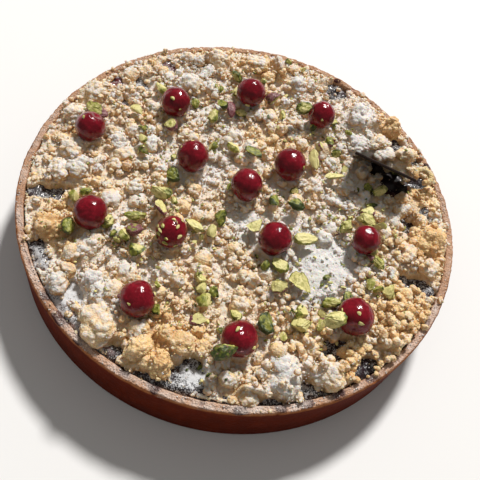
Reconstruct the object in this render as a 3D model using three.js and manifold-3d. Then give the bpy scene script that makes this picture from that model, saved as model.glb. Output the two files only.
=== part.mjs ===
// A round berry crumble tart: a baked crust shell holding a dark berry filling, a heap of butter
// crumble on top with candied cherries sunk into it, pistachio kernels lying on it, and a thin
// plain chocolate plaque pushed in near the far edge. Millimetres, +Z up, underside at z = 0.

import * as THREE from 'three';
import * as BufferGeometryUtils from 'three/addons/utils/BufferGeometryUtils.js';
import Module from 'manifold-3d';

const wasm = await Module();
wasm.setup();

const DEG = Math.PI / 180;

// ---- crust shell ----------------------------------------------------------------------------
const CRUST_RADIUS = 125;
const CRUST_HEIGHT = 36.7;
const CRUST_WALL = 4.6;
const CRUST_BASE = 5;
const CRUST_FOOT_ROUND = 2.2;
const CRUST_RIM_ROUND = 1.1;
const CRUST_SEGMENTS = 72;
const RIM_WAVE = 0.5;              // half the height of the rim's slow rise and fall

// ---- berry filling --------------------------------------------------------------------------
const GAP = 0.3;                   // clear space between neighbouring pieces
const FILLING_TOP = 31.5;
const FILLING_DIP = 1.4;           // depth of the hollows between the berries
const FILLING_RINGS = [0, 70, 98, 106, 114];

// ---- crumble heap ---------------------------------------------------------------------------
const HEAP_RINGS = 18;
const HEAP_LEVEL = 39.6;           // general height of the crumble
const HEAP_EDGE_DROP = 4;          // how far it falls away at its outer edge
const HEAP_EDGE_WIDTH = 7;
const HEAP_INSET = 1.8;            // distance from the crust's inner wall where it is full
const HEAP_NOISE = 0.9;
// Bays where the filling shows at the edge: [direction in degrees, half width in degrees, depth].
const BAYS = [
  [270, 5, 14], [251, 3, 9], [236, 9, 5], [214, 5, 9], [147, 3, 8], [141, 3, 11], [128, 4, 8],
  [108, 4, 4], [71, 6, 9], [44, 3, 10], [33, 2.5, 6], [27, 3, 9], [349, 4, 8], [318, 5, 9],
  [308, 3, 5], [299, 3, 9], [284, 3, 5],
];
// Open holes through the heap: [x, y, half length, half width, heading in degrees].
const HOLES = [[67, -71, 7, 4, 10], [94, 16, 8, 3, 70], [-97, -29, 6, 4, 20]];
// Large lumps: [x, y, radius, rise above the heap's level].
const LUMPS = [
  [-2, 109, 7, 9], [-16, 105, 9, 7], [-42, 99, 9, 8], [-54, 73, 12, 5], [12, 98, 9, 6],
  [58, 85, 12, 7], [77, 82, 8, 8], [71, 68, 7, 5], [90, 63, 7, 5], [59, 63, 8, 4],
  [76, 60, 7, 4], [108, 5, 11, 7], [97, -9, 8, 5], [110, -15, 7, 5], [84, 1, 7, 4],
  [91, 21, 6, 5], [-100, -2, 9, 6], [-92, -14, 8, 6], [-101, -19, 8, 5], [-94, -55, 8, 6],
  [-69, -60, 9, 5], [-47, -99, 13, 7], [-27, -106, 8, 6], [-15, -110, 8, 5], [-76, -84, 7, 5],
  [-9, -97, 10, 5], [44, -96, 14, 8], [64, -91, 10, 6], [53, -81, 6, 5], [29, -111, 8, 6],
  [94, -66, 10, 6], [77, -88, 7, 5], [96, -49, 10, 5], [-52, -81, 9, 4], [-27, -62, 8, 3],
  [39, 20, 8, 3], [-78, 11, 8, 3], [-108, 22, 8, 5], [-104, 44, 9, 5], [-92, 70, 7, 5],
];

// ---- cherries -------------------------------------------------------------------------------
const CHERRY_RISE = 6.4;           // centre above the crumble's level
const CHERRY_SQUASH = 0.95;
const CHERRY_SIDES = 9;
const CHERRY_STEPS = 6;
// [x, y, radius]
const CHERRIES = [
  [-95, 11, 8.8], [-55, 47, 9.2], [-14, 73, 9.3], [32, 71, 8.8], [-34, 11, 9.5], [0, 2, 9.4],
  [21, 25, 9.7], [-74, -44, 9.3], [-31, -42, 8.8], [23, -28, 9.5], [72, -12, 8.2],
  [-35, -84, 9.4], [18, -89, 9.4], [72, -60, 9.8],
];

// ---- pistachio kernels ----------------------------------------------------------------------
const KERNEL_SIDES = 8;
const KERNEL_STEPS = 4;
const KERNEL_TAPER = 0.22;         // one end is this much slimmer
const KERNEL_REACH = 3;            // distance over which the slope under a kernel is taken
const SETTLE_STEP = 0.2;           // step by which a kernel is lifted until it lies free
// The kernels as large as the berries: [x, y, heading in degrees, length, width, thickness].
const KERNELS = [
  [-97, 27, -15, 15, 7.5, 6], [-68, 58, -30, 10, 5.5, 5], [-23, 57, -70, 12, 6.5, 5],
  [0, 76, 15, 10, 8.5, 7], [-32, 48, -75, 10, 6.5, 5], [-29, 57, -40, 9, 6, 5],
  [-14, 29, -25, 9, 6.5, 5], [-2, 30, 0, 11, 7, 5], [-53, 32, -35, 10, 8, 6],
  [-76, 36, -45, 9, 6, 5], [-41, -4, -25, 9, 7.5, 6], [20, 68, 35, 11, 8, 7],
  [34, 36, -75, 15, 6.5, 6], [48, 29, 20, 13, 4.5, 4], [76, 28, 55, 10, 6, 5],
  [71, 5, -30, 11, 7.5, 5], [60, -5, 55, 9, 7.5, 6], [17, 0, -85, 9, 6.5, 5],
  [30, 0, -30, 10, 7, 5], [81, -22, -60, 9, 6.5, 5], [-44, -17, -10, 13, 7.5, 6],
  [-41, -27, -55, 11, 7, 6], [-21, -31, -30, 12, 6, 5], [-53, -36, 25, 13, 5.5, 5],
  [-50, -45, 15, 9.5, 7.5, 6], [-45, -56, 5, 9, 7.5, 5], [-82, -55, -65, 10, 7.5, 6],
  [-9, -22, 65, 10, 7.5, 6], [10, -21, 75, 11, 8, 6], [39, -21, 15, 14, 7.5, 6],
  [29, -41, -40, 11, 8, 6], [41, -48, -45, 14, 9, 6], [31, -54, 5, 9, 7.5, 6],
  [59, -54, 25, 11, 5.5, 5], [61, -68, 25, 12, 8, 6], [46, -71, 5, 10, 8, 6],
  [89, -37, 70, 10, 8, 6], [29, -76, -50, 12, 9, 6], [12, -100, 45, 13, 8, 7],
  [-4, -73, 65, 9, 8, 6],
];

// ---- chocolate plaque -----------------------------------------------------------------------
const PLAQUE_WIDTH = 38;
const PLAQUE_LENGTH = 33;
const PLAQUE_THICKNESS = 1.7;
const PLAQUE_CORNER = 0.8;
const PLAQUE_BEVEL = 0.3;
const PLAQUE_TOP = [72.7, 31.3, 60];   // middle of its upper edge
const PLAQUE_LEAN = 44 * DEG;          // top leans this far towards -Y
const PLAQUE_HEADING = -12.2 * DEG;

const tart = new THREE.Group();

// A smooth irregular pattern between about -1 and 1.
function ripple(x, y) {
  return 0.5 * Math.sin(0.41 * x + 1.3 * Math.sin(0.17 * y)) +
    0.5 * Math.sin(0.37 * y + 1.7 * Math.sin(0.19 * x + 2));
}

function smoothStep(t) {
  const s = Math.min(Math.max(t, 0), 1);
  return s * s * (3 - 2 * s);
}

// Joins equal corners, so that only shared positions and triangles are left.
function weld(geometry) {
  geometry.deleteAttribute('normal');
  geometry.deleteAttribute('uv');
  return BufferGeometryUtils.mergeVertices(geometry, 1e-4);
}

// Turns a profile of [radius, height] points about the Z axis and raises its points as asked.
function turnedBody(profile, rise) {
  const points = profile.map(([radius, height]) => new THREE.Vector2(radius, height));
  const geometry = new THREE.LatheGeometry(points, CRUST_SEGMENTS);
  geometry.rotateX(90 * DEG);
  const position = geometry.attributes.position;
  for (let i = 0; i < position.count; i++) {
    const x = position.getX(i);
    const y = position.getY(i);
    const z = position.getZ(i);
    position.setZ(i, z + rise(x, y, z));
  }
  return weld(geometry);
}

function addMesh(name, geometry, color, roughness) {
  geometry.computeVertexNormals();
  const material = new THREE.MeshStandardMaterial({ color, roughness, metalness: 0 });
  const mesh = new THREE.Mesh(geometry, material);
  mesh.name = name;
  tart.add(mesh);
}

function solidOf(geometry) {
  const vertProperties = new Float32Array(geometry.attributes.position.array);
  const triVerts = new Uint32Array(geometry.index.array);
  return new wasm.Manifold(new wasm.Mesh({ numProp: 3, vertProperties, triVerts }));
}

function geometryOf(solid) {
  const mesh = solid.getMesh();
  const geometry = new THREE.BufferGeometry();
  geometry.setAttribute('position', new THREE.BufferAttribute(mesh.vertProperties, 3));
  geometry.setIndex(new THREE.BufferAttribute(mesh.triVerts, 1));
  return geometry;
}

// A rounded corner of a profile, as [radius, height] points.
function corner(centreRadius, centreHeight, round, startAngle, endAngle, steps) {
  const points = [];
  for (let i = 0; i <= steps; i++) {
    const angle = startAngle + (endAngle - startAngle) * i / steps;
    const radius = centreRadius + round * Math.cos(angle);
    points.push([radius, centreHeight + round * Math.sin(angle)]);
  }
  return points;
}

function makeCrust() {
  const inner = CRUST_RADIUS - CRUST_WALL;
  const foot = CRUST_FOOT_ROUND;
  const rim = CRUST_HEIGHT - CRUST_RIM_ROUND;
  const profile = [
    [0, 0],
    ...corner(CRUST_RADIUS - foot, foot, foot, -90 * DEG, 0, 3),
    ...corner(CRUST_RADIUS - CRUST_RIM_ROUND, rim, CRUST_RIM_ROUND, 0, 90 * DEG, 2),
    ...corner(inner + CRUST_RIM_ROUND, rim, CRUST_RIM_ROUND, 90 * DEG, 180 * DEG, 2),
    [inner, CRUST_BASE],
    [0, CRUST_BASE],
  ];
  const rimWave = (x, y, z) => {
    const angle = Math.atan2(y, x);
    const wave = Math.sin(5 * angle + 1) + 0.7 * Math.sin(11 * angle + 0.6);
    return RIM_WAVE * wave * smoothStep((z - CRUST_BASE) / (CRUST_HEIGHT - CRUST_BASE));
  };
  addMesh('tart_shell', turnedBody(profile, rimWave), 0x8a4a2a, 0.85);
}

function makeFilling() {
  const radius = CRUST_RADIUS - CRUST_WALL - GAP;
  const bottom = CRUST_BASE + GAP;
  const surface = FILLING_RINGS.map((ring) => [ring, FILLING_TOP]).reverse();
  const profile = [[0, bottom], [radius, bottom], [radius, FILLING_TOP - FILLING_DIP], ...surface];
  const berries = (x, y, z) => {
    const onTop = z > FILLING_TOP - 0.1 && Math.hypot(x, y) > 1;
    return onTop ? -FILLING_DIP * (0.5 - 0.5 * ripple(x * 1.7, y * 1.7)) : 0;
  };
  addMesh('berry_filling', turnedBody(profile, berries), 0x1c1018, 0.35);
}

// Distance from the middle to the heap's edge at one direction.
function heapRadius(angle) {
  let radius = CRUST_RADIUS - CRUST_WALL - HEAP_INSET;
  radius -= 0.8 * (1 + Math.sin(17 * angle) * Math.cos(7 * angle + 1));
  for (const [direction, halfWidth, depth] of BAYS) {
    const turn = Math.atan2(Math.sin(angle - direction * DEG), Math.cos(angle - direction * DEG));
    radius -= depth * Math.exp(-((turn / (halfWidth * DEG)) ** 2));
  }
  return radius;
}

// Height of the heap's surface above the underside of the tart.
function heapHeight(x, y) {
  const toEdge = heapRadius(Math.atan2(y, x)) - Math.hypot(x, y);
  let height = HEAP_LEVEL + HEAP_NOISE * ripple(x, y);
  height -= HEAP_EDGE_DROP * (1 - smoothStep(toEdge / HEAP_EDGE_WIDTH));
  for (const [lumpX, lumpY, radius, rise] of LUMPS) {
    const reach = 1 - ((x - lumpX) ** 2 + (y - lumpY) ** 2) / (radius * radius);
    if (reach > 0) {
      height = Math.max(height, HEAP_LEVEL - 1 + (rise + 1) * Math.sqrt(reach));
    }
  }
  return height;
}

// Triangles between two rings of points, given by their first index and count. The inner ring
// may be a single point.
function stitch(innerStart, innerCount, outerStart, outerCount) {
  const triangles = [];
  let inner = innerCount === 1 ? 1 : 0;
  let outer = 0;
  while (inner < innerCount || outer < outerCount) {
    const a = innerStart + inner % innerCount;
    const b = outerStart + outer % outerCount;
    const moveOuter = inner === innerCount ||
      (outer < outerCount && (outer + 1) / outerCount <= (inner + 1) / innerCount);
    if (moveOuter) {
      outer += 1;
      triangles.push(a, b, outerStart + outer % outerCount);
    } else {
      inner += 1;
      triangles.push(a, b, innerStart + inner % innerCount);
    }
  }
  return triangles;
}

// The heap before anything is pushed into it: rings of points from the middle out to its edge.
function heapBody() {
  const bottom = FILLING_TOP + GAP;
  const corners = [0, 0, heapHeight(0, 0)];
  const triangles = [];
  let previousStart = 0;
  let previousCount = 1;
  for (let ring = 1; ring <= HEAP_RINGS; ring++) {
    const count = 6 * ring;
    const start = corners.length / 3;
    for (let i = 0; i < count; i++) {
      const angle = 2 * Math.PI * i / count;
      const radius = heapRadius(angle) * ring / HEAP_RINGS;
      const x = radius * Math.cos(angle);
      const y = radius * Math.sin(angle);
      corners.push(x, y, heapHeight(x, y));
    }
    triangles.push(...stitch(previousStart, previousCount, start, count));
    previousStart = start;
    previousCount = count;
  }
  const lowStart = corners.length / 3;
  for (let i = 0; i < previousCount; i++) {
    const top = 3 * (previousStart + i);
    corners.push(corners[top], corners[top + 1], bottom);
  }
  const middle = corners.length / 3;
  corners.push(0, 0, bottom);
  for (let i = 0; i < previousCount; i++) {
    const next = (i + 1) % previousCount;
    triangles.push(previousStart + i, lowStart + i, lowStart + next);
    triangles.push(previousStart + i, lowStart + next, previousStart + next);
    triangles.push(middle, lowStart + next, lowStart + i);
  }
  const geometry = new THREE.BufferGeometry();
  geometry.setAttribute('position', new THREE.Float32BufferAttribute(corners, 3));
  geometry.setIndex(triangles);
  return geometry;
}

// A cherry at its place, larger all round by the given margin.
function cherryBody([x, y, radius], margin) {
  const size = radius + margin;
  const geometry = new THREE.SphereGeometry(1, CHERRY_SIDES, CHERRY_STEPS);
  geometry.scale(size, size * CHERRY_SQUASH, size);
  geometry.rotateX(90 * DEG);
  geometry.translate(x, y, HEAP_LEVEL + CHERRY_RISE);
  return weld(geometry);
}

// A pistachio kernel above its place on the heap: an egg form lying along its heading and the
// heap's slope, larger all round by the given margin.
function kernelBody([x, y, heading, length, width, thickness], lift, margin) {
  const geometry = new THREE.SphereGeometry(1, KERNEL_SIDES, KERNEL_STEPS);
  geometry.rotateZ(90 * DEG);
  const position = geometry.attributes.position;
  for (let i = 0; i < position.count; i++) {
    const along = position.getX(i);
    const slim = 1 - KERNEL_TAPER * along;
    position.setXYZ(
      i,
      along * (length / 2 + margin),
      position.getY(i) * (width / 2 * slim + margin),
      position.getZ(i) * (thickness / 2 * slim + margin),
    );
  }
  const slopeX = heapHeight(x + KERNEL_REACH, y) - heapHeight(x - KERNEL_REACH, y);
  const slopeY = heapHeight(x, y + KERNEL_REACH) - heapHeight(x, y - KERNEL_REACH);
  const normal = new THREE.Vector3(-slopeX, -slopeY, 4 * KERNEL_REACH).normalize();
  const lean = new THREE.Quaternion().setFromUnitVectors(new THREE.Vector3(0, 0, 1), normal);
  geometry.rotateZ(heading * DEG);
  geometry.applyQuaternion(lean);
  geometry.translate(x, y, heapHeight(x, y) + lift);
  return weld(geometry);
}

// A kernel lifted in small steps until it lies just free of everything below it.
function restingKernel(kernel, support) {
  let lift = 0;
  while (!support.intersect(solidOf(kernelBody(kernel, lift, GAP))).isEmpty()) {
    lift += SETTLE_STEP;
  }
  return kernelBody(kernel, lift, 0);
}

// The plaque at its place, larger all round by the given margin.
function plaqueBody(margin) {
  const halfWidth = PLAQUE_WIDTH / 2 - PLAQUE_BEVEL + margin;
  const length = PLAQUE_LENGTH - 2 * PLAQUE_BEVEL + 2 * margin;
  const outline = new THREE.Shape();
  outline.moveTo(PLAQUE_CORNER - halfWidth, 0);
  outline.lineTo(halfWidth - PLAQUE_CORNER, 0);
  outline.lineTo(halfWidth, -PLAQUE_CORNER);
  outline.lineTo(halfWidth, PLAQUE_CORNER - length);
  outline.lineTo(halfWidth - PLAQUE_CORNER, -length);
  outline.lineTo(PLAQUE_CORNER - halfWidth, -length);
  outline.lineTo(-halfWidth, PLAQUE_CORNER - length);
  outline.lineTo(-halfWidth, -PLAQUE_CORNER);
  outline.closePath();
  const depth = PLAQUE_THICKNESS - 2 * PLAQUE_BEVEL + 2 * margin;
  const geometry = new THREE.ExtrudeGeometry(outline, {
    depth,
    bevelEnabled: true,
    bevelSize: PLAQUE_BEVEL,
    bevelThickness: PLAQUE_BEVEL,
    bevelSegments: 1,
  });
  geometry.translate(0, margin - PLAQUE_BEVEL, -depth / 2);
  geometry.rotateX(90 * DEG + PLAQUE_LEAN);
  geometry.rotateZ(PLAQUE_HEADING);
  geometry.translate(...PLAQUE_TOP);
  return weld(geometry);
}

// An open hole through the heap, as the body that is cut out of it.
function holeBody([x, y, halfLength, halfWidth, heading]) {
  const geometry = new THREE.IcosahedronGeometry(1, 1);
  geometry.scale(halfLength, halfWidth, 3 * (HEAP_LEVEL - FILLING_TOP));
  geometry.rotateZ(heading * DEG);
  geometry.translate(x, y, HEAP_LEVEL);
  return weld(geometry);
}

// The heap with a pocket for everything that is pushed into it.
function makeHeap() {
  let heap = solidOf(heapBody());
  const cutters = [
    plaqueBody(GAP),
    ...CHERRIES.map((cherry) => cherryBody(cherry, GAP + 0.05)),
    ...HOLES.map(holeBody),
  ];
  for (const cutter of cutters) {
    heap = heap.subtract(solidOf(cutter));
  }
  addMesh('crumble_topping', geometryOf(heap), 0xdcc08e, 0.95);
  return heap;
}

function numbered(name, index) {
  return `${name}_${String(index + 1).padStart(2, '0')}`;
}

makeCrust();
makeFilling();
let support = makeHeap();
addMesh('chocolate_plaque', plaqueBody(0), 0x2a1610, 0.5);
support = support.add(solidOf(plaqueBody(0)));
CHERRIES.forEach((cherry, i) => {
  addMesh(numbered('cherry', i), cherryBody(cherry, 0), 0x7c1024, 0.2);
  support = support.add(solidOf(cherryBody(cherry, 0)));
});
KERNELS.forEach((kernel, i) => {
  const body = restingKernel(kernel, support);
  support = support.add(solidOf(body));
  addMesh(numbered('pistachio', i), body, 0xa8a850, 0.7);
});

export default tart;
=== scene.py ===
"""Berry crumble tart: the looks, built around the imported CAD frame.

Laid out as an add-on and run as a script.
"""

import functools
import math

import bmesh
import bpy
import numpy as np
from mathutils import Matrix, Vector
from mathutils.bvhtree import BVHTree


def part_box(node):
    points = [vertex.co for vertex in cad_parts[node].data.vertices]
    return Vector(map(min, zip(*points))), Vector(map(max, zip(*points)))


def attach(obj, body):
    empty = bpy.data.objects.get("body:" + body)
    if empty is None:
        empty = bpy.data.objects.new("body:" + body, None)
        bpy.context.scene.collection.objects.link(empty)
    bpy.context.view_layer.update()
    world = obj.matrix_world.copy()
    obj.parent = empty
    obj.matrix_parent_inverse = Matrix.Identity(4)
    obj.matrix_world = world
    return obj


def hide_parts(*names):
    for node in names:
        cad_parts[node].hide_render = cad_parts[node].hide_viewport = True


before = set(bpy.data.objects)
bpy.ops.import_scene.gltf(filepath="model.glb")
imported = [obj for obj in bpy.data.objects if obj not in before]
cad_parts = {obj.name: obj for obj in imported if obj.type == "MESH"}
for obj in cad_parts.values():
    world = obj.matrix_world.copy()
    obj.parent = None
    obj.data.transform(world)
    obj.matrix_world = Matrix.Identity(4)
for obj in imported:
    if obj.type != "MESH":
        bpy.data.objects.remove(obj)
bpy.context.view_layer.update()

bl_info = {
    "name": "Berry Crumble Tart",
    "version": (1, 0, 0),
    "blender": (4, 5, 0),
    "location": "3D View > Sidebar > Tart",
    "description": "Models a round berry crumble tart with cherries, chopped nuts and sugar",
    "category": "Add Mesh",
}

BODY = "root"
NUT_CREASE = 0.85  # angle in radians past which a broken edge is crisp
MM = 0.001
GRID_STEP = 0.5  # mm between height samples
GRID_HALF = 125.0  # mm from the middle to the grid's edge
GRID_COUNT = int(2 * GRID_HALF / GRID_STEP) + 1
GRID_LINE = np.linspace(-GRID_HALF, GRID_HALF, GRID_COUNT)
GRID_PLACES = np.meshgrid(GRID_LINE, GRID_LINE)
BED_DROP = 4.2  # mm that the crumble's core lies under the heap's outline
JAM_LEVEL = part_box("berry_filling")[1].z / MM
HEAP_REACH = 116.5  # mm from the middle to where the heap is last measured
CRUMBLE_REACH = 120.2  # mm from the middle to where the rim begins
SHELL_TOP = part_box("tart_shell")[1].z / MM
SHELL_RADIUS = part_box("tart_shell")[1].x / MM
RIM_LEVEL = SHELL_TOP - 0.75  # mm, the rim without its unevenness
OPEN_SKY = 900.0  # mm, stands for the height of a roof where nothing hangs over

# Where the crumble leaves the jam bare: direction in degrees, distance from the middle,
# half lengths along and across the crust, in mm, and how much sugar lies there.
BAYS = (
    (26, 112.3, 3.4, 5, 0), (33.5, 117, 3, 2.6, 0.2), (41, 110.5, 5, 5.4, 0.1), (13, 110, 5.4, 3, 0.2),
    (8.5, 98, 5, 5, 0), (70, 114.5, 6.2, 8, -0.1), (117, 107, 3.4, 2.8, 0), (129.5, 111, 2.8, 5.4, 0),
    (142, 106.5, 3.4, 8, 0.1), (148, 115, 2.6, 2.6, 0), (151.5, 99.5, 3, 3.6, 0.1),
    (197.5, 108.5, 4.4, 9, 0.1), (217.5, 116, 9.5, 3.6, 0.1), (231, 109, 6.5, 3.6, 0.08),
    (251, 116.5, 2.4, 4.4, 0), (262, 119, 9, 2.6, 0.2), (236, 119, 20, 3.2, 0.2),
    (269.5, 110.5, 7.4, 9.2, 0.08), (310, 101.5, 3.8, 8.6, 0.1),
    # The bays at 25, 30 and 35 degrees lie under the plaque: their bare dark jam with little sugar is partly
    # real jam and partly painted shade of the plaque.
    (299, 115.5, 2.8, 4.4, 0), (316, 117, 6.6, 5.2, 0.1), (347, 108.5, 4.4, 12, 0.05), (25, 95, 6.5, 9, -0.4),
    (288, 119.6, 9, 2, 0.1), (304, 120, 8, 1.8, 0.1), (35, 90.5, 6, 5.6, -0.5), (30, 97, 5, 6, -0.5),
)
# Dark blotches on the rim's inner half: direction in degrees, distance from the middle and reach in mm.
RIM_BLOTCHES = (
    (229, 121, 4), (236, 121.5, 5.5), (243, 121.5, 4), (256, 121, 3.5), (263, 121, 4.5), (283, 122.5, 4.5),
    (292, 121, 4), (298, 121, 4), (306, 122, 4), (315, 121.5, 3), (31, 121.5, 3.5), (72, 121, 3),
)

# Big pieces of crumble: x, y, radius and rise above the heap, in mm.
LUMPS = (
    (-2, 109, 7, 9), (-16, 105, 9, 7), (-42, 99, 9, 8), (-54, 73, 12, 5), (12, 98, 9, 6),
    (58, 85, 12, 7), (77, 82, 8, 8), (71, 68, 7, 5), (90, 63, 7, 5), (59, 63, 8, 4),
    (76, 60, 7, 4), (108, 5, 11, 7), (97, -9, 8, 5), (110, -15, 7, 5), (84, 1, 7, 4),
    (91, 21, 6, 5), (-100, -2, 9, 6), (-92, -14, 8, 6), (-101, -19, 8, 5), (-94, -55, 8, 6),
    (-69, -60, 9, 5), (-47, -99, 13, 7), (-27, -106, 8, 6), (-15, -110, 8, 5), (-76, -84, 7, 5),
    (-9, -97, 10, 5), (44, -96, 14, 8), (64, -91, 10, 6), (53, -81, 6, 5), (29, -111, 8, 6),
    (-52, -81, 9, 4), (-27, -62, 8, 3),
    (57, 29, 9, 6), (66, 19, 6, 5), (79, 17, 8, 6), (94, 32, 7, 6), (66, 43, 5, 4),
    (39, 20, 8, 3), (-78, 11, 8, 3), (-108, 22, 8, 5), (-104, 44, 9, 5), (-92, 70, 7, 5),
)
# A curled crumb near the crust: x, y, z of its middle, radii of the curl and of its dough, in mm.
CURL = (100.6, 47.6, 43.6, 4.9, 1.9)
CURL_TURNS = range(-75, 216, 14)  # degrees at which the curl's dough is laid
# The smooth drift of sugar and the places with few crumbs: x, y, reach in mm and how much.
DRIFT = ((52, -32, 20, 1.0),)
FEW_CRUMBS = ((52, -32, 19, 1.3), (20, -12, 7, 0.5))
# Jam that shines red: x, y, reach in mm and how much.
RED_JAM = ((-95, 57, 9, 0.9), (-70, 85, 7, 0.9), (84, 30, 6, 0.8))
# Sugar: x, y, reach in mm and how much more (or less) than elsewhere.
SUGAR_SPOTS = (
    (50, -25, 22, 0.75), (55, -42, 12, 0.55), (-52, 75, 14, 0.5), (-60, 60, 10, 0.35),
    (-65, 20, 10, 0.3), (-50, 10, 10, 0.3), (10, -20, 9, 0.5), (-25, 10, 11, 0.4),
    (45, -50, 10, 0.4), (-25, 55, 10, 0.35), (58, 87, 12, 0.35), (60, 60, 10, 0.45),
    (0, -108, 12, 0.5), (-60, -85, 9, 0.35), (-45, -85, 10, 0.3), (44, -96, 12, 0.25),
    (-92, -14, 8, 0.3), (-70, -40, 9, 0.3), (-88, -72, 10, 0.35), (20, 85, 12, 0.2),
    (100, -45, 20, -0.5), (-20, -105, 22, -0.4), (-90, -55, 12, -0.35), (110, 0, 14, -0.35),
    (100, 35, 12, -0.35), (10, 45, 12, -0.2), (-75, -25, 14, -0.2), (-40, -35, 10, -0.15),
    (0, -95, 9, -0.3), (85, -85, 14, -0.4), (77, 82, 9, -0.25), (-101, 10, 12, -0.15),
    (105, 50, 9, -0.3), (-108, -30, 9, -0.3), (0, -60, 14, -0.1), (-60, -100, 10, -0.2),
    (-44, 44, 11, 0.3), (44, 22, 11, 0.3), (-22, 22, 11, 0.3), (88, -22, 10, 0.2), (0, -22, 10, 0.25),
    (0, -44, 9, 0.2), (44, 66, 10, 0.2), (22, 66, 10, 0.2), (-88, 22, 9, 0.2), (-44, -55, 12, 0.15),
    (-44, 66, 10, -0.35), (-47, -97, 12, 0.12), (-86, -66, 10, -0.2), (-76, -85, 10, 0.26),
    (-44, 0, 9, -0.2), (70, 22, 12, 0.2),
)
# Baking: x, y, reach in mm and how much browner.
BROWN_SPOTS = (
    (100, -45, 22, 0.1), (-20, -105, 18, 0.25), (110, 0, 14, 0.3), (100, 35, 12, 0.25),
    (85, -85, 16, 0.12), (29, -111, 9, 0.45), (-94, -55, 10, 0.3), (-45, -100, 12, 0.1),
    (77, 82, 9, 0.35), (-110, 10, 14, 0.2), (-60, -100, 10, 0.12), (78, -90, 9, 0.25),
    (0, 109, 10, 0.2), (-76, -84, 8, 0.1), (50, -25, 20, -0.3), (0, -60, 15, -0.1),
)
# Whole and half nuts, in the order of their CAD nodes: greenness, skin, sugar, broken faces.
NUTS = (
    (0.6, 1, 0.1, 1), (0.3, 0, 0.1, 2), (0.45, 0.8, 0.1, 0), (0.5, 0.5, 0.4, 1),
    (0.15, 0, 0.1, 2), (0.85, 0, 0, 1), (0.05, 0, 0.1, 1), (0.9, 0, 0, 1),
    (0.45, 0.6, 0.4, 0), (0.15, 0, 0.2, 2), (0.9, 0, 0.3, 1), (0.5, 0, 0.4, 1),
    (0.1, 0.7, 0.3, 0), (0.3, 0, 0, 1), (0.3, 0, 0.1, 1), (0.3, 0, 0, 2),
    (0.5, 0, 0, 2), (0.9, 0, 0, 2), (0.85, 0, 0, 2), (0.6, 0, 0.1, 2),
    (0.3, 0, 0, 1), (0.3, 0.9, 0.3, 1), (0.3, 0, 0, 2), (0.1, 0, 0.4, 1),
    (0.9, 1.3, 0, 0), (0.45, 0, 0.1, 2), (0.7, 0.2, 0.1, 1), (0.9, 0, 0, 2),
    (0.3, 0.5, 0, 1), (0.08, 0, 0.4, 0), (0.3, 0, 0, 1), (0.35, 0.3, 0.2, 1),
    (0.3, 0.8, 0.2, 1), (0.6, 0, 0.3, 1), (0.3, 0.15, 0.1, 1), (0.3, 0, 0.1, 2),
    (0.25, 0, 0, 2), (0.9, 0, 0.1, 1), (0.6, 0.1, 0.4, 0), (0.1, 0, 0.1, 2),
)
# Chopped nuts: x, y, length in mm, greenness, skin.
CHIPS = (
    (-34, 73, 6, 0.3, 0), (-26, 87, 9, 0.6, 0), (-24, 75, 7, 0.05, 0), (-17, 60, 7, 0.3, 0),
    (8, 69, 8, 0.25, 0), (-26, 28, 8, 0.35, 0), (-67, 25, 5, 0.6, 0.2), (-66, 17, 6, 0.1, 0),
    (-62, 7, 8, 0.55, 0.2), (-45, 57, 8, 0.9, 0), (-9, 1, 6, 0.6, 0), (-46, 13, 5, 0.6, 0.2),
    (-9, 90, 5, 0.5, 0), (3, 110, 5, 0.5, 0.2), (13, 110, 5, 0.1, 0), (-60, 56, 5, 0.05, 0),
    (29, 64, 7, 0.55, 0.1), (41, 75, 6, 0.6, 0), (51, 66, 5, 0.05, 0), (41, 54, 8, 0.9, 0.6),
    (46, 49, 7, 0.6, 0), (42, 60, 5, 0.6, 1), (35, 47, 7, 0.4, 0.8), (53, 38, 6, 0.05, 0),
    (70, 31, 7, 0.85, 0), (73, 17, 7, 0.9, 0), (79, 2, 7, 0.1, 0), (62, 5, 4, 0.05, 0),
    (67, -8, 4, 0.05, 0), (78, -14, 6, 0.2, 0), (76, -20, 6, 0.8, 1), (78, -21, 6, 0.9, 0),
    (27, 13, 6, 0.3, 0), (86, 53, 5, 0.6, 0), (71, 12, 9, 0.3, 0.9), (88, -2, 3, 0.05, 0),
    (14, 45, 3, 0.5, 1), (50, 2, 2.4, 0.05, 0), (53, 1, 2.4, 0.05, 0), (45, -12, 2.4, 0.05, 0),
    (23, 21, 7, 0.3, 0.2), (-36, -20, 5, 0.3, 0), (-38, -35, 8, 0.6, 1), (-30, -30, 3, 0.6, 0),
    (-11, -33, 8, 0.1, 0.6), (-16, -35, 4, 0.05, 0), (-18, -41, 3, 0.05, 0),
    (-65, -44, 8, 0.3, 0), (-88, -34, 7, 0.1, 0), (-83, -28, 7, 0.3, 0), (-60, -50, 5, 0.6, 0),
    (-57, -53, 5, 0.6, 0), (-27, -13, 2.4, 0.05, 0), (-37, -72, 6, 0.3, 0),
    (-29, -72, 4, 0.1, 0), (-26, -85, 7, 0.65, 0), (-42, -87, 4, 0.8, 0),
    (-10, -60, 8, 0.25, 0.1), (-7, -66, 7, 0.35, 0), (0, -65, 7, 0.9, 0), (-5, -83, 8, 0.2, 1),
    (-54, -49, 7, 0.05, 0), (21, -43, 7, 0.5, 0), (16, -36, 3, 0.6, 0), (55, -38, 6, 0.5, 0),
    (67, -49, 7, 0.9, 0), (56, -61, 6, 0.1, 0), (45, -65, 9, 0.3, 0), (56, -68, 8, 0.4, 1),
    (78, -37, 7, 0.5, 0), (82, -39, 6, 0.55, 0), (13, -76, 8, 0.3, 0), (39, -79, 7, 0.5, 0.7),
    (8, -85, 5, 0.6, 0), (53, -43, 3, 0.6, 0), (3, -104, 3, 0.6, 0), (8, -108, 3, 0.6, 0),
)
# How many nut bits stick to each cherry.
BITS_ON_CHERRIES = (1, 3, 1, 1, 4, 1, 1, 1, 16, 2, 1, 3, 5, 5)


# ---------------------------------------------------------------- sizes and colours


def length(name, description, default):
    return bpy.props.FloatProperty(name=name, description=description, default=default, unit="LENGTH")


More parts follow.
